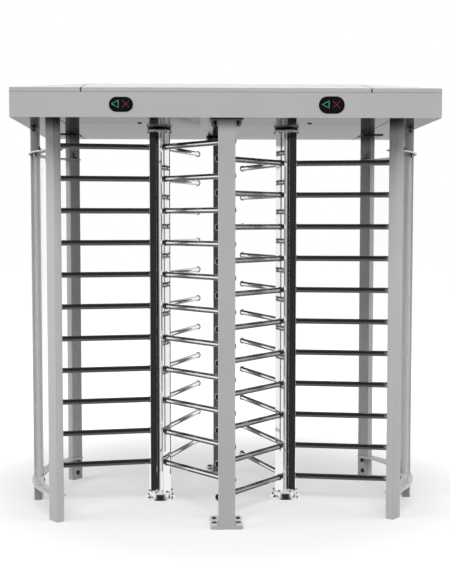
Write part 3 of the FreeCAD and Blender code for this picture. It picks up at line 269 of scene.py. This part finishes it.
# Blackened pieces: the centre posts' top plates, the cam locks, the collars of the rotor heads, the
# plungers' cases and the small screws of the rotors, all of matt blackened steel.
black_finish = sprayed_metal("blackened steel", (0.022, 0.022, 0.024), roughness=0.35, metal=0.6,
                             peel=0.03, cloud=0.1)
for node in ("center_top_plates", "left_cam_lock", "right_cam_lock", "bearing_housings", "solenoids",
             "left_plate_screws", "right_plate_screws", "floor_base_screws"):
    finish(node, black_finish)

# Bolts of the side posts: turned button heads with a hexagon socket, plated dark.
# Each post has one in its foot and one in each hoop's tab, all on its inner face.
# The upper ones and the small screws at the posts' tops are sprayed with the posts.
bolt_finish = sprayed_metal("dark plating", (0.07, 0.07, 0.072), roughness=0.3, metal=0.8, peel=0.03,
                            cloud=0.1)


def pick_rim(piece, height):
    """Selects the edges that lie above a height, on a piece in edit mode."""
    pick_edges(piece, lambda edge: min(vert.co.z for vert in edge.verts) > height)


def is_underside(face):
    """Whether a face looks straight down."""
    return face.normal.z < -0.9


def button_bolt(head_radius, head_height, socket_radius):
    """A button-head bolt that stands with its seat at the origin, socket up and shank down."""
    shank_radius = 0.005
    shank_length = 0.015
    bpy.ops.mesh.primitive_cylinder_add(vertices=32, radius=head_radius, depth=head_height,
                                        location=(0, 0, head_height / 2))
    bolt = bpy.context.object
    bpy.ops.object.transform_apply(location=True, rotation=True, scale=True)
    bpy.ops.object.mode_set(mode="EDIT")
    pick_rim(bolt, head_height * 0.9)
    bpy.ops.mesh.bevel(offset=head_height * 0.75, segments=5)
    pick_faces(bolt, is_underside)
    bpy.ops.mesh.inset(thickness=head_radius - shank_radius)
    bpy.ops.mesh.extrude_region_move(TRANSFORM_OT_translate={"value": (0, 0, -shank_length)})
    bpy.ops.object.mode_set(mode="OBJECT")
    bpy.ops.mesh.primitive_cylinder_add(vertices=6, radius=socket_radius, depth=head_height,
                                        location=(0, 0, head_height * 0.95))
    socket = bpy.context.object
    bpy.ops.object.select_all(action="DESELECT")
    bolt.select_set(True)
    bpy.context.view_layer.objects.active = bolt
    sink = bolt.modifiers.new("socket", "BOOLEAN")
    sink.object = socket
    sink.operation = "DIFFERENCE"
    bpy.ops.object.modifier_apply(modifier="socket")
    bpy.data.objects.remove(socket, do_unlink=True)
    bpy.ops.object.shade_smooth_by_angle(angle=math.radians(30))
    return bolt


tab_seat = 0.0055
foot_bolt_height = 0.043
lower_tab_height = 0.108
upper_tab_height = 2.006
canopy_screw_height = 2.118
large_bolt = button_bolt(head_radius=0.013, head_height=0.008, socket_radius=0.0048)
small_screw = button_bolt(head_radius=0.0085, head_height=0.005, socket_radius=0.0032)
large_spots = []
upper_spots = []
small_spots = []
for (side, spot), outward in post_outward.items():
    for spots, height, standoff in ((large_spots, foot_bolt_height, 0.0),
                                    (large_spots, lower_tab_height, tab_seat),
                                    (upper_spots, upper_tab_height, tab_seat)):
        reach = post_circle[spot] - post_depth / 2 - standoff
        place = (rotor_x[side] + reach * math.cos(outward), rotor_y + reach * math.sin(outward), height)
        spots.append((place, (0, math.pi / 2, outward + math.pi)))
    for end in (-1, 1) if spot != "rear" else ():
        across = outward + end * math.pi / 2
        place = (rotor_x[side] + post_circle[spot] * math.cos(outward) + post_width / 2 * math.cos(across),
                 rotor_y + post_circle[spot] * math.sin(outward) + post_width / 2 * math.sin(across),
                 canopy_screw_height)
        small_spots.append((place, (0, math.pi / 2, across)))
button_bolts = set_out(large_bolt, "post_button_bolts", large_spots)
button_bolts.data.materials.append(bolt_finish)
upper_bolts = set_out(large_bolt, "upper_tab_bolts", upper_spots)
upper_bolts.data.materials.append(post_finish)
canopy_screws = set_out(small_screw, "canopy_screws", small_spots)
canopy_screws.data.materials.append(canopy_shaded_finish)
for piece in (button_bolts, upper_bolts, canopy_screws):
    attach(piece, "frame")
    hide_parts("post_bolts")
discard(large_bolt)
discard(small_screw)

# Bolts of the centre plates: forged hexagon heads with a chamfer and a washer face, plated dark.
# Four anchors hold each foot plate to the floor, and four longer heads hang under each top plate.


def hex_bolt(head_height, shank_length):
    """A hexagon bolt that stands with its seat at the origin, head up and shank down."""
    head_radius = 0.0138
    chamfer = 0.0016
    washer_face = 0.001
    washer_margin = 0.0012
    shank_margin = 0.0052
    bpy.ops.mesh.primitive_cylinder_add(vertices=6, radius=head_radius, depth=head_height - washer_face,
                                        location=(0, 0, washer_face + (head_height - washer_face) / 2))
    bolt = bpy.context.object
    bpy.ops.object.transform_apply(location=True, rotation=True, scale=True)
    bpy.ops.object.mode_set(mode="EDIT")
    pick_rim(bolt, head_height * 0.9)
    bpy.ops.mesh.bevel(offset=chamfer, segments=2)
    pick_faces(bolt, is_underside)
    bpy.ops.mesh.inset(thickness=washer_margin)
    bpy.ops.mesh.extrude_region_move(TRANSFORM_OT_translate={"value": (0, 0, -washer_face)})
    bpy.ops.mesh.inset(thickness=shank_margin)
    bpy.ops.mesh.extrude_region_move(TRANSFORM_OT_translate={"value": (0, 0, -shank_length)})
    bpy.ops.object.mode_set(mode="OBJECT")
    bpy.ops.object.shade_smooth_by_angle(angle=math.radians(25))
    return bolt


anchor = hex_bolt(head_height=0.008, shank_length=0.015)
top_bolt = hex_bolt(head_height=0.024, shank_length=0.032)
anchor_rows = (-0.649014, -0.559014, 0.578014, 0.668014)
anchor_x = 0.064
anchor_holes = [(x, y) for y in anchor_rows for x in (-anchor_x, anchor_x)]
anchors = set_out(anchor, "floor_anchors", [((x, y, foot_plate_top), (0, 0, 0)) for x, y in anchor_holes])
top_bolts = set_out(top_bolt, "top_plate_bolts",
                    [((x, y, top_plate_underside), (math.pi, 0, 0)) for x, y in anchor_holes])
for piece in (anchors, top_bolts):
    piece.data.materials.append(bolt_finish)
    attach(piece, "frame")
    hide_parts("center_post_bolts")
discard(anchor)
discard(top_bolt)

# Hoops: flat C rings cut from steel plate, with tabs bolted to the posts, sprayed silver grey.
# Their edges are a little glossier and more metallic, and carry a painted highlight in a lighter grey; the
# upper ones carry painted shade in the corners at the posts.
# The small clips of the guard sheets have the same spray.


def worked(tree, operation, *values):
    """One step of arithmetic on sockets and plain numbers."""
    step = tree.nodes.new("ShaderNodeMath")
    step.operation = operation
    for value, socket in zip(values, step.inputs):
        if isinstance(value, float):
            socket.default_value = value
        else:
            tree.links.new(value, socket)
    return step.outputs["Value"]


hoop_finish = sprayed_metal("hoop spray with painted highlight and shade", (0.40, 0.40, 0.41), roughness=0.3, metal=0.15)
hoop_tree = hoop_finish.node_tree
hoop_shader = hoop_tree.nodes["Principled BSDF"]
hoop_level = worked(hoop_tree, "ABSOLUTE", split_axes(hoop_tree, "ShaderNodeNewGeometry", "Normal")["Z"])
hoop_edge = graded(hoop_tree, hoop_level, start=0.4, end=0.6, low=1.0, high=0.0)
# Painted highlight: the edges get a lighter grey than the faces.
overlaid(hoop_finish, (0.62, 0.62, 0.63), hoop_edge)
for socket, on_face, on_edge in (("Metallic", 0.15, 0.3), ("Roughness", 0.32, 0.25)):
    level = graded(hoop_tree, hoop_edge, start=0.0, end=1.0, low=on_face, high=on_edge)
    hoop_tree.links.new(level, hoop_shader.inputs[socket])
# Painted shade: the upper hoops darken to near black where other parts close in on them, at the posts.
hoop_corner_shade = hoop_tree.nodes.new("ShaderNodeAmbientOcclusion")
hoop_corner_shade.samples = 8
hoop_corner_shade.inputs["Distance"].default_value = 0.09
hoop_height = split_axes(hoop_tree, "ShaderNodeTexCoord", "Object")["Z"]
is_lower_hoop = worked(hoop_tree, "LESS_THAN", hoop_height, 1.0)
hoop_unshaded = worked(hoop_tree, "MAXIMUM", hoop_corner_shade.outputs["AO"], is_lower_hoop)
overlaid(hoop_finish, (0.05, 0.05, 0.05),
         graded(hoop_tree, hoop_unshaded, start=0.5, end=1.0, low=1.0, high=0.0))
for node in ("lower_hoops", "upper_hoops", "panel_clips"):
    finish(node, hoop_finish)

# Guard panels: clear sheet bent to the circle of the lane, held between the hoops by small clips.
# The sheet is almost invisible, with a faint haze that grows where it is seen edge on.
clear = bpy.data.materials.new("clear sheet")
clear.use_nodes = True
clear_tree = clear.node_tree
clear_shader = clear_tree.nodes["Principled BSDF"]
clear_shader.inputs["Base Color"].default_value = (0.72, 0.73, 0.74, 1)
clear_place = clear_tree.nodes.new("ShaderNodeTexCoord").outputs["Object"]
haze = clouded(clear_tree, clear_place, scale=8.0, detail=2.0)
clear_tree.links.new(graded(clear_tree, haze, start=0.0, end=1.0, low=0.04, high=0.12),
                     clear_shader.inputs["Roughness"])
edge_on = clear_tree.nodes.new("ShaderNodeLayerWeight")
edge_on.inputs["Blend"].default_value = 0.25
film = graded(clear_tree, edge_on.outputs["Facing"], start=0.3, end=1.0, low=0.015, high=0.45, smooth=True)
clear_tree.links.new(film, clear_shader.inputs["Alpha"])
finish("left_guard_panel", clear)
finish("right_guard_panel", clear)

# Rotors: columns of three rectangular stainless tubes, with rows of bars welded to them, all polished.
# The tubes stand on round turned end plates. The shafts in them run on polished floor bases.
# Polishing leaves faint streaks along the tubes and bars.


def polished_steel(name, colour, roughness, streak_scale):
    """Polished stainless steel with faint streaks that run along one direction."""
    material = bpy.data.materials.new(name)
    material.use_nodes = True
    tree = material.node_tree
    shader = tree.nodes["Principled BSDF"]
    shader.inputs["Metallic"].default_value = 1.0
    place = tree.nodes.new("ShaderNodeTexCoord")
    stretch = tree.nodes.new("ShaderNodeMapping")
    stretch.inputs["Scale"].default_value = streak_scale
    tree.links.new(place.outputs["Object"], stretch.inputs["Vector"])
    streaks = clouded(tree, stretch.outputs["Vector"], scale=6.0, detail=5.0)
    dim = [channel * 0.96 for channel in colour]
    tree.links.new(two_toned(tree, streaks, dim, colour), shader.inputs["Base Color"])
    spread = graded(tree, streaks, start=0.0, end=1.0, low=roughness * 0.7, high=roughness * 1.3)
    tree.links.new(spread, shader.inputs["Roughness"])
    return material


bar_finish = polished_steel("polished bar", (0.88, 0.88, 0.89), roughness=0.06, streak_scale=(1, 1, 30))
column_finish = polished_steel("polished column", (0.90, 0.90, 0.91), roughness=0.05,
                               streak_scale=(40, 40, 1))
plate_finish = polished_steel("turned plate", (0.86, 0.86, 0.87), roughness=0.12, streak_scale=(12, 12, 12))
disc_finish = sprayed_metal("turned disc", (0.94, 0.94, 0.95), roughness=0.25, metal=0.25, peel=0.01)
for side in ("left", "right"):
    finish("%s_rotor_bars" % side, bar_finish)
    finish("%s_rotor_shaft" % side, column_finish)
    finish("%s_end_plates" % side, disc_finish)
finish("floor_bases", plate_finish)
wing_tube_depth = 0.04
wing_tube_width = 0.06
wing_tube_middle = 0.041
wing_face = wing_tube_middle + wing_tube_depth / 2
column_foot = 0.042
column_top = 2.11
wing_lean = 9.6
wing_turns = {}
for side, mirror in (("left", 1), ("right", -1)):
    start = 180 if side == "left" else 0
    wing_turns[side] = [math.radians(start + mirror * (wing_lean + 120 * wing)) for wing in range(3)]
wing_tube = rounded_tube(wing_tube_depth, wing_tube_width, column_foot, column_top, wall=0.003, corner=0.0018)
for side in ("left", "right"):
    node = "%s_wing_tubes" % side
    tubes = set_out(wing_tube, "%s_column_tubes" % side,
                    [((rotor_x[side] + wing_tube_middle * math.cos(turn),
                       rotor_y + wing_tube_middle * math.sin(turn), 0), (0, 0, turn))
                     for turn in wing_turns[side]])
    tubes.data.materials.append(column_finish)
    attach(tubes, "%s_rotor" % side)
    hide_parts(node)
discard(wing_tube)

# Weld beads: a thin rippled fillet of weld metal round the root of each bar.
# It is brushed and left a little darker than the polish.
bar_pitch = 0.181
lowest_bar = {"left": 0.2155, "right": 0.125}


def bar_spots(side, reach):
    """The points at one distance along every bar of a rotor, and the bars' directions."""
    heights = [lowest_bar[side] + bar_pitch * level for level in range(11)]
    return [((rotor_x[side] + reach * math.cos(turn), rotor_y + reach * math.sin(turn), height),
             (0, math.pi / 2, turn)) for turn in wing_turns[side] for height in heights]


bead_radius = 0.0162
bead_thickness = 0.0022
bead_standoff = 0.0008
ripple_count = 24
bpy.ops.mesh.primitive_torus_add(major_segments=ripple_count, minor_segments=8, major_radius=bead_radius,
                                 minor_radius=bead_thickness)
bead = bpy.context.object
bpy.ops.object.mode_set(mode="EDIT")
shape = bmesh.from_edit_mesh(bead.data)
for vert in shape.verts:
    step = round(math.atan2(vert.co.y, vert.co.x) / (2 * math.pi / ripple_count))
    vert.select_set(step % 2 == 0)
shape.select_flush_mode()
bpy.ops.transform.resize(value=(1.03, 1.03, 0.8))
bpy.ops.object.mode_set(mode="OBJECT")
bpy.ops.object.shade_smooth()
bead_finish = sprayed_metal("weld bead", (0.42, 0.41, 0.40), roughness=0.3, metal=1.0, peel=0.1, cloud=0.15)
for side in ("left", "right"):
    beads = set_out(bead, "%s_bar_welds" % side, bar_spots(side, wing_face + bead_standoff))
    beads.data.materials.append(bead_finish)
    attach(beads, "%s_rotor" % side)
discard(bead)

# Bar ends: a thin polished rim on the tip of each bar, round a black plug.
# The plug is moulded plastic with a matt grain and a crowned face, and its stem fits in the open tube.
bar_tip = 0.632
rim_radius = 0.019
rim_depth = 0.004
rim_edge = 0.0005
rim_wall = 0.0016
rim_bore_taper = 0.84
plug_radius = 0.0162
plug_depth = 0.0018
plug_middle = 0.0027
plug_crown = 0.0012
stem_margin = 0.0018
stem_length = 0.0178


def is_cap(face):
    """Whether a face is the round cap that an inset leaves, not one of the strips round it."""
    return is_level(face) and len(face.verts) > 4


bpy.ops.mesh.primitive_cylinder_add(vertices=28, radius=rim_radius, depth=rim_depth,
                                    location=(0, 0, rim_depth / 2))
rim = bpy.context.object
bpy.ops.object.transform_apply(location=True, rotation=True, scale=True)
bpy.ops.object.mode_set(mode="EDIT")
pick_rim(rim, rim_depth - rim_edge)
bpy.ops.mesh.bevel(offset=rim_edge, segments=2)
pick_faces(rim, is_level)
bpy.ops.mesh.inset(thickness=rim_wall, use_individual=True)
pick_faces(rim, lambda face: is_cap(face) and is_underside(face))
bpy.ops.transform.resize(value=(rim_bore_taper, rim_bore_taper, 1), center_override=(0, 0, 0))
pick_faces(rim, is_cap)
bpy.ops.mesh.bridge_edge_loops()
bpy.ops.object.mode_set(mode="OBJECT")
bpy.ops.object.shade_smooth_by_angle(angle=math.radians(35))
bpy.ops.mesh.primitive_cylinder_add(vertices=28, radius=plug_radius, depth=plug_depth,
                                    location=(0, 0, plug_middle))
plug = bpy.context.object
bpy.ops.object.transform_apply(location=True, rotation=True, scale=True)
bpy.ops.object.mode_set(mode="EDIT")
pick_rim(plug, plug_middle)
bpy.ops.mesh.bevel(offset=plug_crown, segments=3)
pick_faces(plug, is_underside)
bpy.ops.mesh.inset(thickness=stem_margin)
bpy.ops.mesh.extrude_region_move(TRANSFORM_OT_translate={"value": (0, 0, -stem_length)})
bpy.ops.object.mode_set(mode="OBJECT")
bpy.ops.object.shade_smooth_by_angle(angle=math.radians(35))
plug_finish = sprayed_metal("black plastic", (0.006, 0.006, 0.006), roughness=0.5, metal=0.0, peel=0.05,
                            cloud=0.1)
plug_finish.node_tree.nodes["Principled BSDF"].inputs["Specular IOR Level"].default_value = 0.15
for side in ("left", "right"):
    for pattern, name, material in ((rim, "rings", bar_finish), (plug, "plugs", plug_finish)):
        piece = set_out(pattern, "%s_bar_%s" % (side, name), bar_spots(side, bar_tip))
        piece.data.materials.append(material)
        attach(piece, "%s_rotor" % side)
        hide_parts("%s_bar_caps" % side)
discard(rim)
discard(plug)

# Rotor heads: head plates, bearings, lock discs, levers and plungers, of turned and ground steel.
# They are hidden in the canopy, with a control box of grey plastic between them.
for side in ("left", "right"):
    for part in ("lock_disc", "lock_lever", "plunger"):
        finish("%s_%s" % (side, part), plate_finish)
finish("upper_bearings", plate_finish)
finish("head_plates", plate_finish)
box_finish = sprayed_metal("grey plastic", (0.08, 0.085, 0.09), roughness=0.5, metal=0.0, peel=0.05)
finish("control_box", box_finish)

# Canopy: a welded frame of primed hollow tube, cased in folded steel sheets sprayed silver grey.
# Under it the sheets' returns and the middle panel are smoother and mirror the post tops softly.
# The rolled edges along the seams of the underside are dull.
finish("canopy_frame", sprayed_metal("frame primer", (0.10, 0.105, 0.11), roughness=0.6, metal=0.0))
faint_gloss = (0.30, 0.30, 0.30, 1)
fascia_finish = sprayed_metal("fascia spray", (0.43, 0.43, 0.44), roughness=0.42, metal=0.15)
fascia_tree = fascia_finish.node_tree
fascia_shader = fascia_tree.nodes["Principled BSDF"]
fascia_shader.inputs["Specular Tint"].default_value = faint_gloss
fascia_facing = split_axes(fascia_tree, "ShaderNodeNewGeometry", "Normal")["Z"]
underneath = graded(fascia_tree, fascia_facing, start=-0.6, end=-0.4, low=1.0, high=0.0)
overlaid(fascia_finish, (0.18, 0.18, 0.185), underneath)
for socket, outside, below in (("Metallic", 0.15, 0.95), ("Roughness", 0.42, 0.12)):
    level = graded(fascia_tree, underneath, start=0.0, end=1.0, low=outside, high=below)
    fascia_tree.links.new(level, fascia_shader.inputs[socket])

end_seam = 0.85925
front_seam = -0.4232
rear_seam = 0.409
rolled_edge = 0.003


def rolled_seams(material, within=None):
    """Dulls the rolled edges along the seams of the underside, only within a mask where one is given."""
    tree = material.node_tree
    axes = split_axes(tree, "ShaderNodeTexCoord", "Object")
    outward = worked(tree, "ABSOLUTE", axes["X"])
    near = worked(tree, "COMPARE", outward, end_seam, rolled_edge)
    for seam in (front_seam, rear_seam):
        near = worked(tree, "MAXIMUM", near, worked(tree, "COMPARE", axes["Y"], seam, rolled_edge))
    if within is not None:
        near = worked(tree, "MULTIPLY", near, within)
    overlaid(material, (0.16, 0.16, 0.16), near)
    roughness = tree.nodes["Principled BSDF"].inputs["Roughness"]
    dull = tree.nodes.new("ShaderNodeMix")
    dull.data_type = "FLOAT"
    dull.inputs["B"].default_value = 0.7
    tree.links.new(near, dull.inputs["Factor"])
    tree.links.new(roughness.links[0].from_socket, dull.inputs["A"])
    tree.links.new(dull.outputs["Result"], roughness)


rolled_seams(fascia_finish, underneath)
for node in ("left_end_fascia", "right_end_fascia", "front_fascia", "rear_fascia"):
    finish(node, fascia_finish)
soffit_finish = sprayed_metal("soffit spray", (0.198, 0.198, 0.203), roughness=0.12, metal=0.95)
soffit_finish.node_tree.nodes["Principled BSDF"].inputs["Specular Tint"].default_value = faint_gloss
rolled_seams(soffit_finish)
finish("center_soffit_panel", soffit_finish)

# Lids: three thin steel sheets that form the shallow hipped roof and rest on the fascias.
# All are sprayed the fascias' grey; the slopes get a lighter grey as painted light from above, and the
# skirt's lower joint is dark.
lid_joint = 2.26
lid_finish = sprayed_metal("lid spray with painted top light", (0.44, 0.44, 0.45), roughness=0.42, metal=0.15)
lid_tree = lid_finish.node_tree
lid_height = split_axes(lid_tree, "ShaderNodeTexCoord", "Object")["Z"]
lid_facing = split_axes(lid_tree, "ShaderNodeNewGeometry", "Normal")["Z"]
overlaid(lid_finish, (0.12, 0.12, 0.12),
         graded(lid_tree, lid_height, start=lid_joint - 0.0005, end=lid_joint + 0.0005, low=1.0, high=0.0))
# Painted light: faces that look up are given a lighter grey, as if lit from above.
overlaid(lid_finish, (0.52, 0.52, 0.54), graded(lid_tree, lid_facing, start=0.3, end=0.6, low=0.0, high=1.0))
for node in ("left_lid", "center_lid", "right_lid"):
    finish(node, lid_finish)

# Indicators: glossy black oval lenses set in the front fascia, with a green arrow and a red cross.
# The marks are drawn in rows of small domed lamps that stand just out of the lens.
lens_finish = sprayed_metal("black lens", (0.006, 0.006, 0.007), roughness=0.12, metal=0.0, peel=0.0,
                            cloud=0.0)
lens_finish.node_tree.nodes["Principled BSDF"].inputs["Specular IOR Level"].default_value = 0.3
finish("left_indicator", lens_finish)
finish("right_indicator", lens_finish)


def glowing(name, colour, strength):
    """A small lamp of one colour."""
    material = bpy.data.materials.new(name)
    material.use_nodes = True
    shader = material.node_tree.nodes["Principled BSDF"]
    shader.inputs["Base Color"].default_value = (*colour, 1)
    shader.inputs["Emission Color"].default_value = (*colour, 1)
    shader.inputs["Emission Strength"].default_value = strength
    return material


def dotted(start, end, count):
    """Evenly spaced points from one corner of a mark to just before the next."""
    return [(start[0] + (end[0] - start[0]) * step / count, start[1] + (end[1] - start[1]) * step / count)
            for step in range(count)]


lens_x = {"left": -0.5368, "right": 0.5348}
mark_height = 2.197
mark_face = -0.716014
arrow_shift = -0.031
arrow_corners = ((-0.017, 0.0), (0.017, 0.018), (0.017, -0.018))
arrow_side_count = 12
arrow_dots = []
for index, corner in enumerate(arrow_corners):
    arrow_dots += dotted(corner, arrow_corners[(index + 1) % 3], arrow_side_count)
cross_shift = 0.024
cross_reach = 0.0155
cross_arm_count = 7
cross_dots = []
for lean in (1, -1):
    arm_end = (cross_reach, lean * cross_reach)
    cross_dots += dotted((-cross_reach, -lean * cross_reach), arm_end, cross_arm_count)
    cross_dots.append(arm_end)
dot_radius = 0.0012
dot_flatness = 0.45
bpy.ops.mesh.primitive_uv_sphere_add(segments=10, ring_count=6, radius=dot_radius)
dot = bpy.context.object
bpy.ops.object.mode_set(mode="EDIT")
bpy.ops.transform.resize(value=(1, dot_flatness, 1))
bpy.ops.object.mode_set(mode="OBJECT")
bpy.ops.object.shade_smooth()
marks = (("indicator_arrows", arrow_dots, arrow_shift, glowing("green mark", (0.10, 0.50, 0.27), 0.6)),
         ("indicator_crosses", cross_dots, cross_shift, glowing("red mark", (0.50, 0.06, 0.14), 0.55)))
for node, dots, shift, material in marks:
    spots = [((lens_x[side] + shift + x, mark_face, mark_height + z), (0, 0, 0))
             for side in ("left", "right") for x, z in dots]
    lit = set_out(dot, "%s_dots" % node, spots)
    lit.data.materials.append(material)
    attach(lit, "frame")
    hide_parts(node)
discard(dot)

# Floor: one plain pale sheet that keeps the soft shadow of the unit.
# It shows white where nothing shades it, and polished metal looks past it at the room.
floor_size = 60
floor_level = -0.0005
bpy.ops.mesh.primitive_plane_add(size=floor_size, location=(0, 0, floor_level))
floor = bpy.context.object
floor.name = "floor"
floor_paint = bpy.data.materials.new("floor paint")
floor_paint.use_nodes = True
floor_tree = floor_paint.node_tree
floor_shader = floor_tree.nodes["Principled BSDF"]
floor_shader.inputs["Roughness"].default_value = 0.9
floor_shader.inputs["Specular IOR Level"].default_value = 0.0
floor_ray = floor_tree.nodes.new("ShaderNodeLightPath")
floor_tone = floor_tree.nodes.new("ShaderNodeMix")
floor_tone.data_type = "RGBA"
floor_tone.inputs["A"].default_value = (0.36, 0.36, 0.36, 1)
floor_tone.inputs["B"].default_value = (0.25, 0.25, 0.25, 1)
floor_tree.links.new(floor_ray.outputs["Is Camera Ray"], floor_tone.inputs["Factor"])
floor_tree.links.new(floor_tone.outputs["Result"], floor_shader.inputs["Base Color"])
floor_place = floor_tree.nodes.new("ShaderNodeTexCoord")
floor_reach = floor_tree.nodes.new("ShaderNodeVectorMath")
floor_reach.operation = "LENGTH"
floor_tree.links.new(floor_place.outputs["Object"], floor_reach.inputs[0])
floor_fade = graded(floor_tree, floor_reach.outputs["Value"], start=0.9, end=2.4, low=0.48, high=0.9,
                    smooth=True)
floor_glow = floor_tree.nodes.new("ShaderNodeEmission")
floor_tree.links.new(worked(floor_tree, "MULTIPLY", floor_ray.outputs["Is Camera Ray"], floor_fade),
                     floor_glow.inputs["Strength"])
floor_sum = floor_tree.nodes.new("ShaderNodeAddShader")
floor_tree.links.new(floor_shader.outputs["BSDF"], floor_sum.inputs[0])
floor_tree.links.new(floor_glow.outputs["Emission"], floor_sum.inputs[1])
floor_open = floor_tree.nodes.new("ShaderNodeBsdfTransparent")
floor_mix = floor_tree.nodes.new("ShaderNodeMixShader")
floor_tree.links.new(floor_ray.outputs["Is Glossy Ray"], floor_mix.inputs["Fac"])
floor_tree.links.new(floor_sum.outputs["Shader"], floor_mix.inputs[1])
floor_tree.links.new(floor_open.outputs["BSDF"], floor_mix.inputs[2])
floor_tree.links.new(floor_mix.outputs["Shader"], floor_tree.nodes["Material Output"].inputs["Surface"])
floor.data.materials.append(floor_paint)

# Room: a soft dome that is brighter overhead, white where the camera looks past the unit.
# Polished metal mirrors white walls at the sides and the back, a grey patch at the back of the right
# wall, a dark ceiling that comes lower at the back left, and the dark room behind the camera.
world = bpy.data.worlds.new("studio")
scene.world = world
world.use_nodes = True
room_tree = world.node_tree
room_tree.nodes.remove(room_tree.nodes["Background"])
way = split_axes(room_tree, "ShaderNodeTexCoord", "Generated")


def blended(first, second, amount):
    """A level between two others, each a socket or a plain number, by an amount."""
    mix = room_tree.nodes.new("ShaderNodeMix")
    mix.data_type = "FLOAT"
    for value, socket in ((first, mix.inputs["A"]), (second, mix.inputs["B"])):
        if isinstance(value, float):
            socket.default_value = value
        else:
            room_tree.links.new(value, socket)
    room_tree.links.new(amount, mix.inputs["Factor"])
    return mix.outputs["Result"]


wall_level = 1.0
grey_patch_level = 0.4
behind_level = 0.03
ceiling_level = 0.02
below_level = 0.11
patch_across = graded(room_tree, way["X"], start=0.8, end=0.93, low=0.0, high=1.0, smooth=True)
patch_back = graded(room_tree, way["Y"], start=-0.03, end=0.12, low=0.0, high=1.0, smooth=True)
grey_patch = worked(room_tree, "MULTIPLY", patch_across, patch_back)
lowered_left = graded(room_tree, way["X"], start=-0.3, end=-0.12, low=0.17, high=0.0, smooth=True)
lowered_back = graded(room_tree, way["Y"], start=0.4, end=0.6, low=0.0, high=1.0, smooth=True)
lowered = worked(room_tree, "MULTIPLY", lowered_left, lowered_back)
ceiling = graded(room_tree, worked(room_tree, "ADD", way["Z"], lowered), start=0.28, end=0.42, low=0.0,
                 high=1.0, smooth=True)
behind = graded(room_tree, way["Y"], start=-0.85, end=-0.45, low=1.0, high=0.0, smooth=True)
below = graded(room_tree, way["Z"], start=-0.42, end=-0.24, low=1.0, high=0.0, smooth=True)
room_level = blended(wall_level, grey_patch_level, grey_patch)
for level, amount in ((behind_level, behind), (ceiling_level, ceiling), (below_level, below)):
    room_level = blended(room_level, level, amount)
dome_level = graded(room_tree, way["Z"], start=0.2, end=0.8, low=0.05, high=0.5, smooth=True)


def room_light(level):
    """White light from the room at one level, a socket or a plain number."""
    light = room_tree.nodes.new("ShaderNodeBackground")
    light.inputs["Color"].default_value = (1, 1, 1, 1)
    if isinstance(level, float):
        light.inputs["Strength"].default_value = level
    else:
        room_tree.links.new(level, light.inputs["Strength"])
    return light.outputs["Background"]


def seen_by(rays, light, other):
    """One light for some kinds of rays, and another for the rest."""
    choice = room_tree.nodes.new("ShaderNodeMixShader")
    room_tree.links.new(rays, choice.inputs["Fac"])
    room_tree.links.new(other, choice.inputs[1])
    room_tree.links.new(light, choice.inputs[2])
    return choice.outputs["Shader"]


ray = room_tree.nodes.new("ShaderNodeLightPath").outputs
past_the_unit = worked(room_tree, "MAXIMUM", ray["Is Camera Ray"], ray["Is Transmission Ray"])
mirrored_or_dome = seen_by(ray["Is Glossy Ray"], room_light(room_level), room_light(dome_level))
room_tree.links.new(seen_by(past_the_unit, room_light(1.0), mirrored_or_dome),
                    room_tree.nodes["World Output"].inputs["Surface"])

# Lamps: three large soft boxes, one above the camera and one high at each side.
# They are kept out of the metal's mirror image.


def soft_box(name, place, size, power):
    """A large square lamp aimed at the middle of the unit."""
    data = bpy.data.lights.new(name, "AREA")
    data.shape = "SQUARE"
    data.size = size
    data.energy = power
    lamp = bpy.data.objects.new(name, data)
    lamp.location = place
    lamp.rotation_euler = (Vector((0, 0, 1.0)) - Vector(place)).to_track_quat("-Z", "Y").to_euler()
    lamp.visible_glossy = False
    scene.collection.objects.link(lamp)


soft_box("key", place=(0.0, -7.4, 12.6), size=7.5, power=1750)
soft_box("left side", place=(-7.4, -2.6, 8.8), size=5.5, power=790)
soft_box("right side", place=(7.4, -2.6, 8.8), size=5.5, power=720)

# Camera: its place, turn, lens and shift are solved from the photograph's straight edges.
# It stands at eye height, six metres in front and a little to the left.
image_width = 450
image_height = 577
focal_pixels = 1059.0
center_x = 223.37
center_y = 290.17
yaw = 0.0306
pitch = 0.064
camera_data = bpy.data.cameras.new("camera")
camera_data.sensor_width = 36.0
camera_data.lens = focal_pixels * camera_data.sensor_width / image_height
camera_data.shift_x = (image_width / 2 - center_x) / image_height
camera_data.shift_y = (center_y - image_height / 2) / image_height
camera = bpy.data.objects.new("camera", camera_data)
camera.location = (-0.1841, -6.1402, 1.5986)
camera.rotation_euler = (math.pi / 2 - pitch, 0, -yaw)
scene.collection.objects.link(camera)
scene.camera = camera
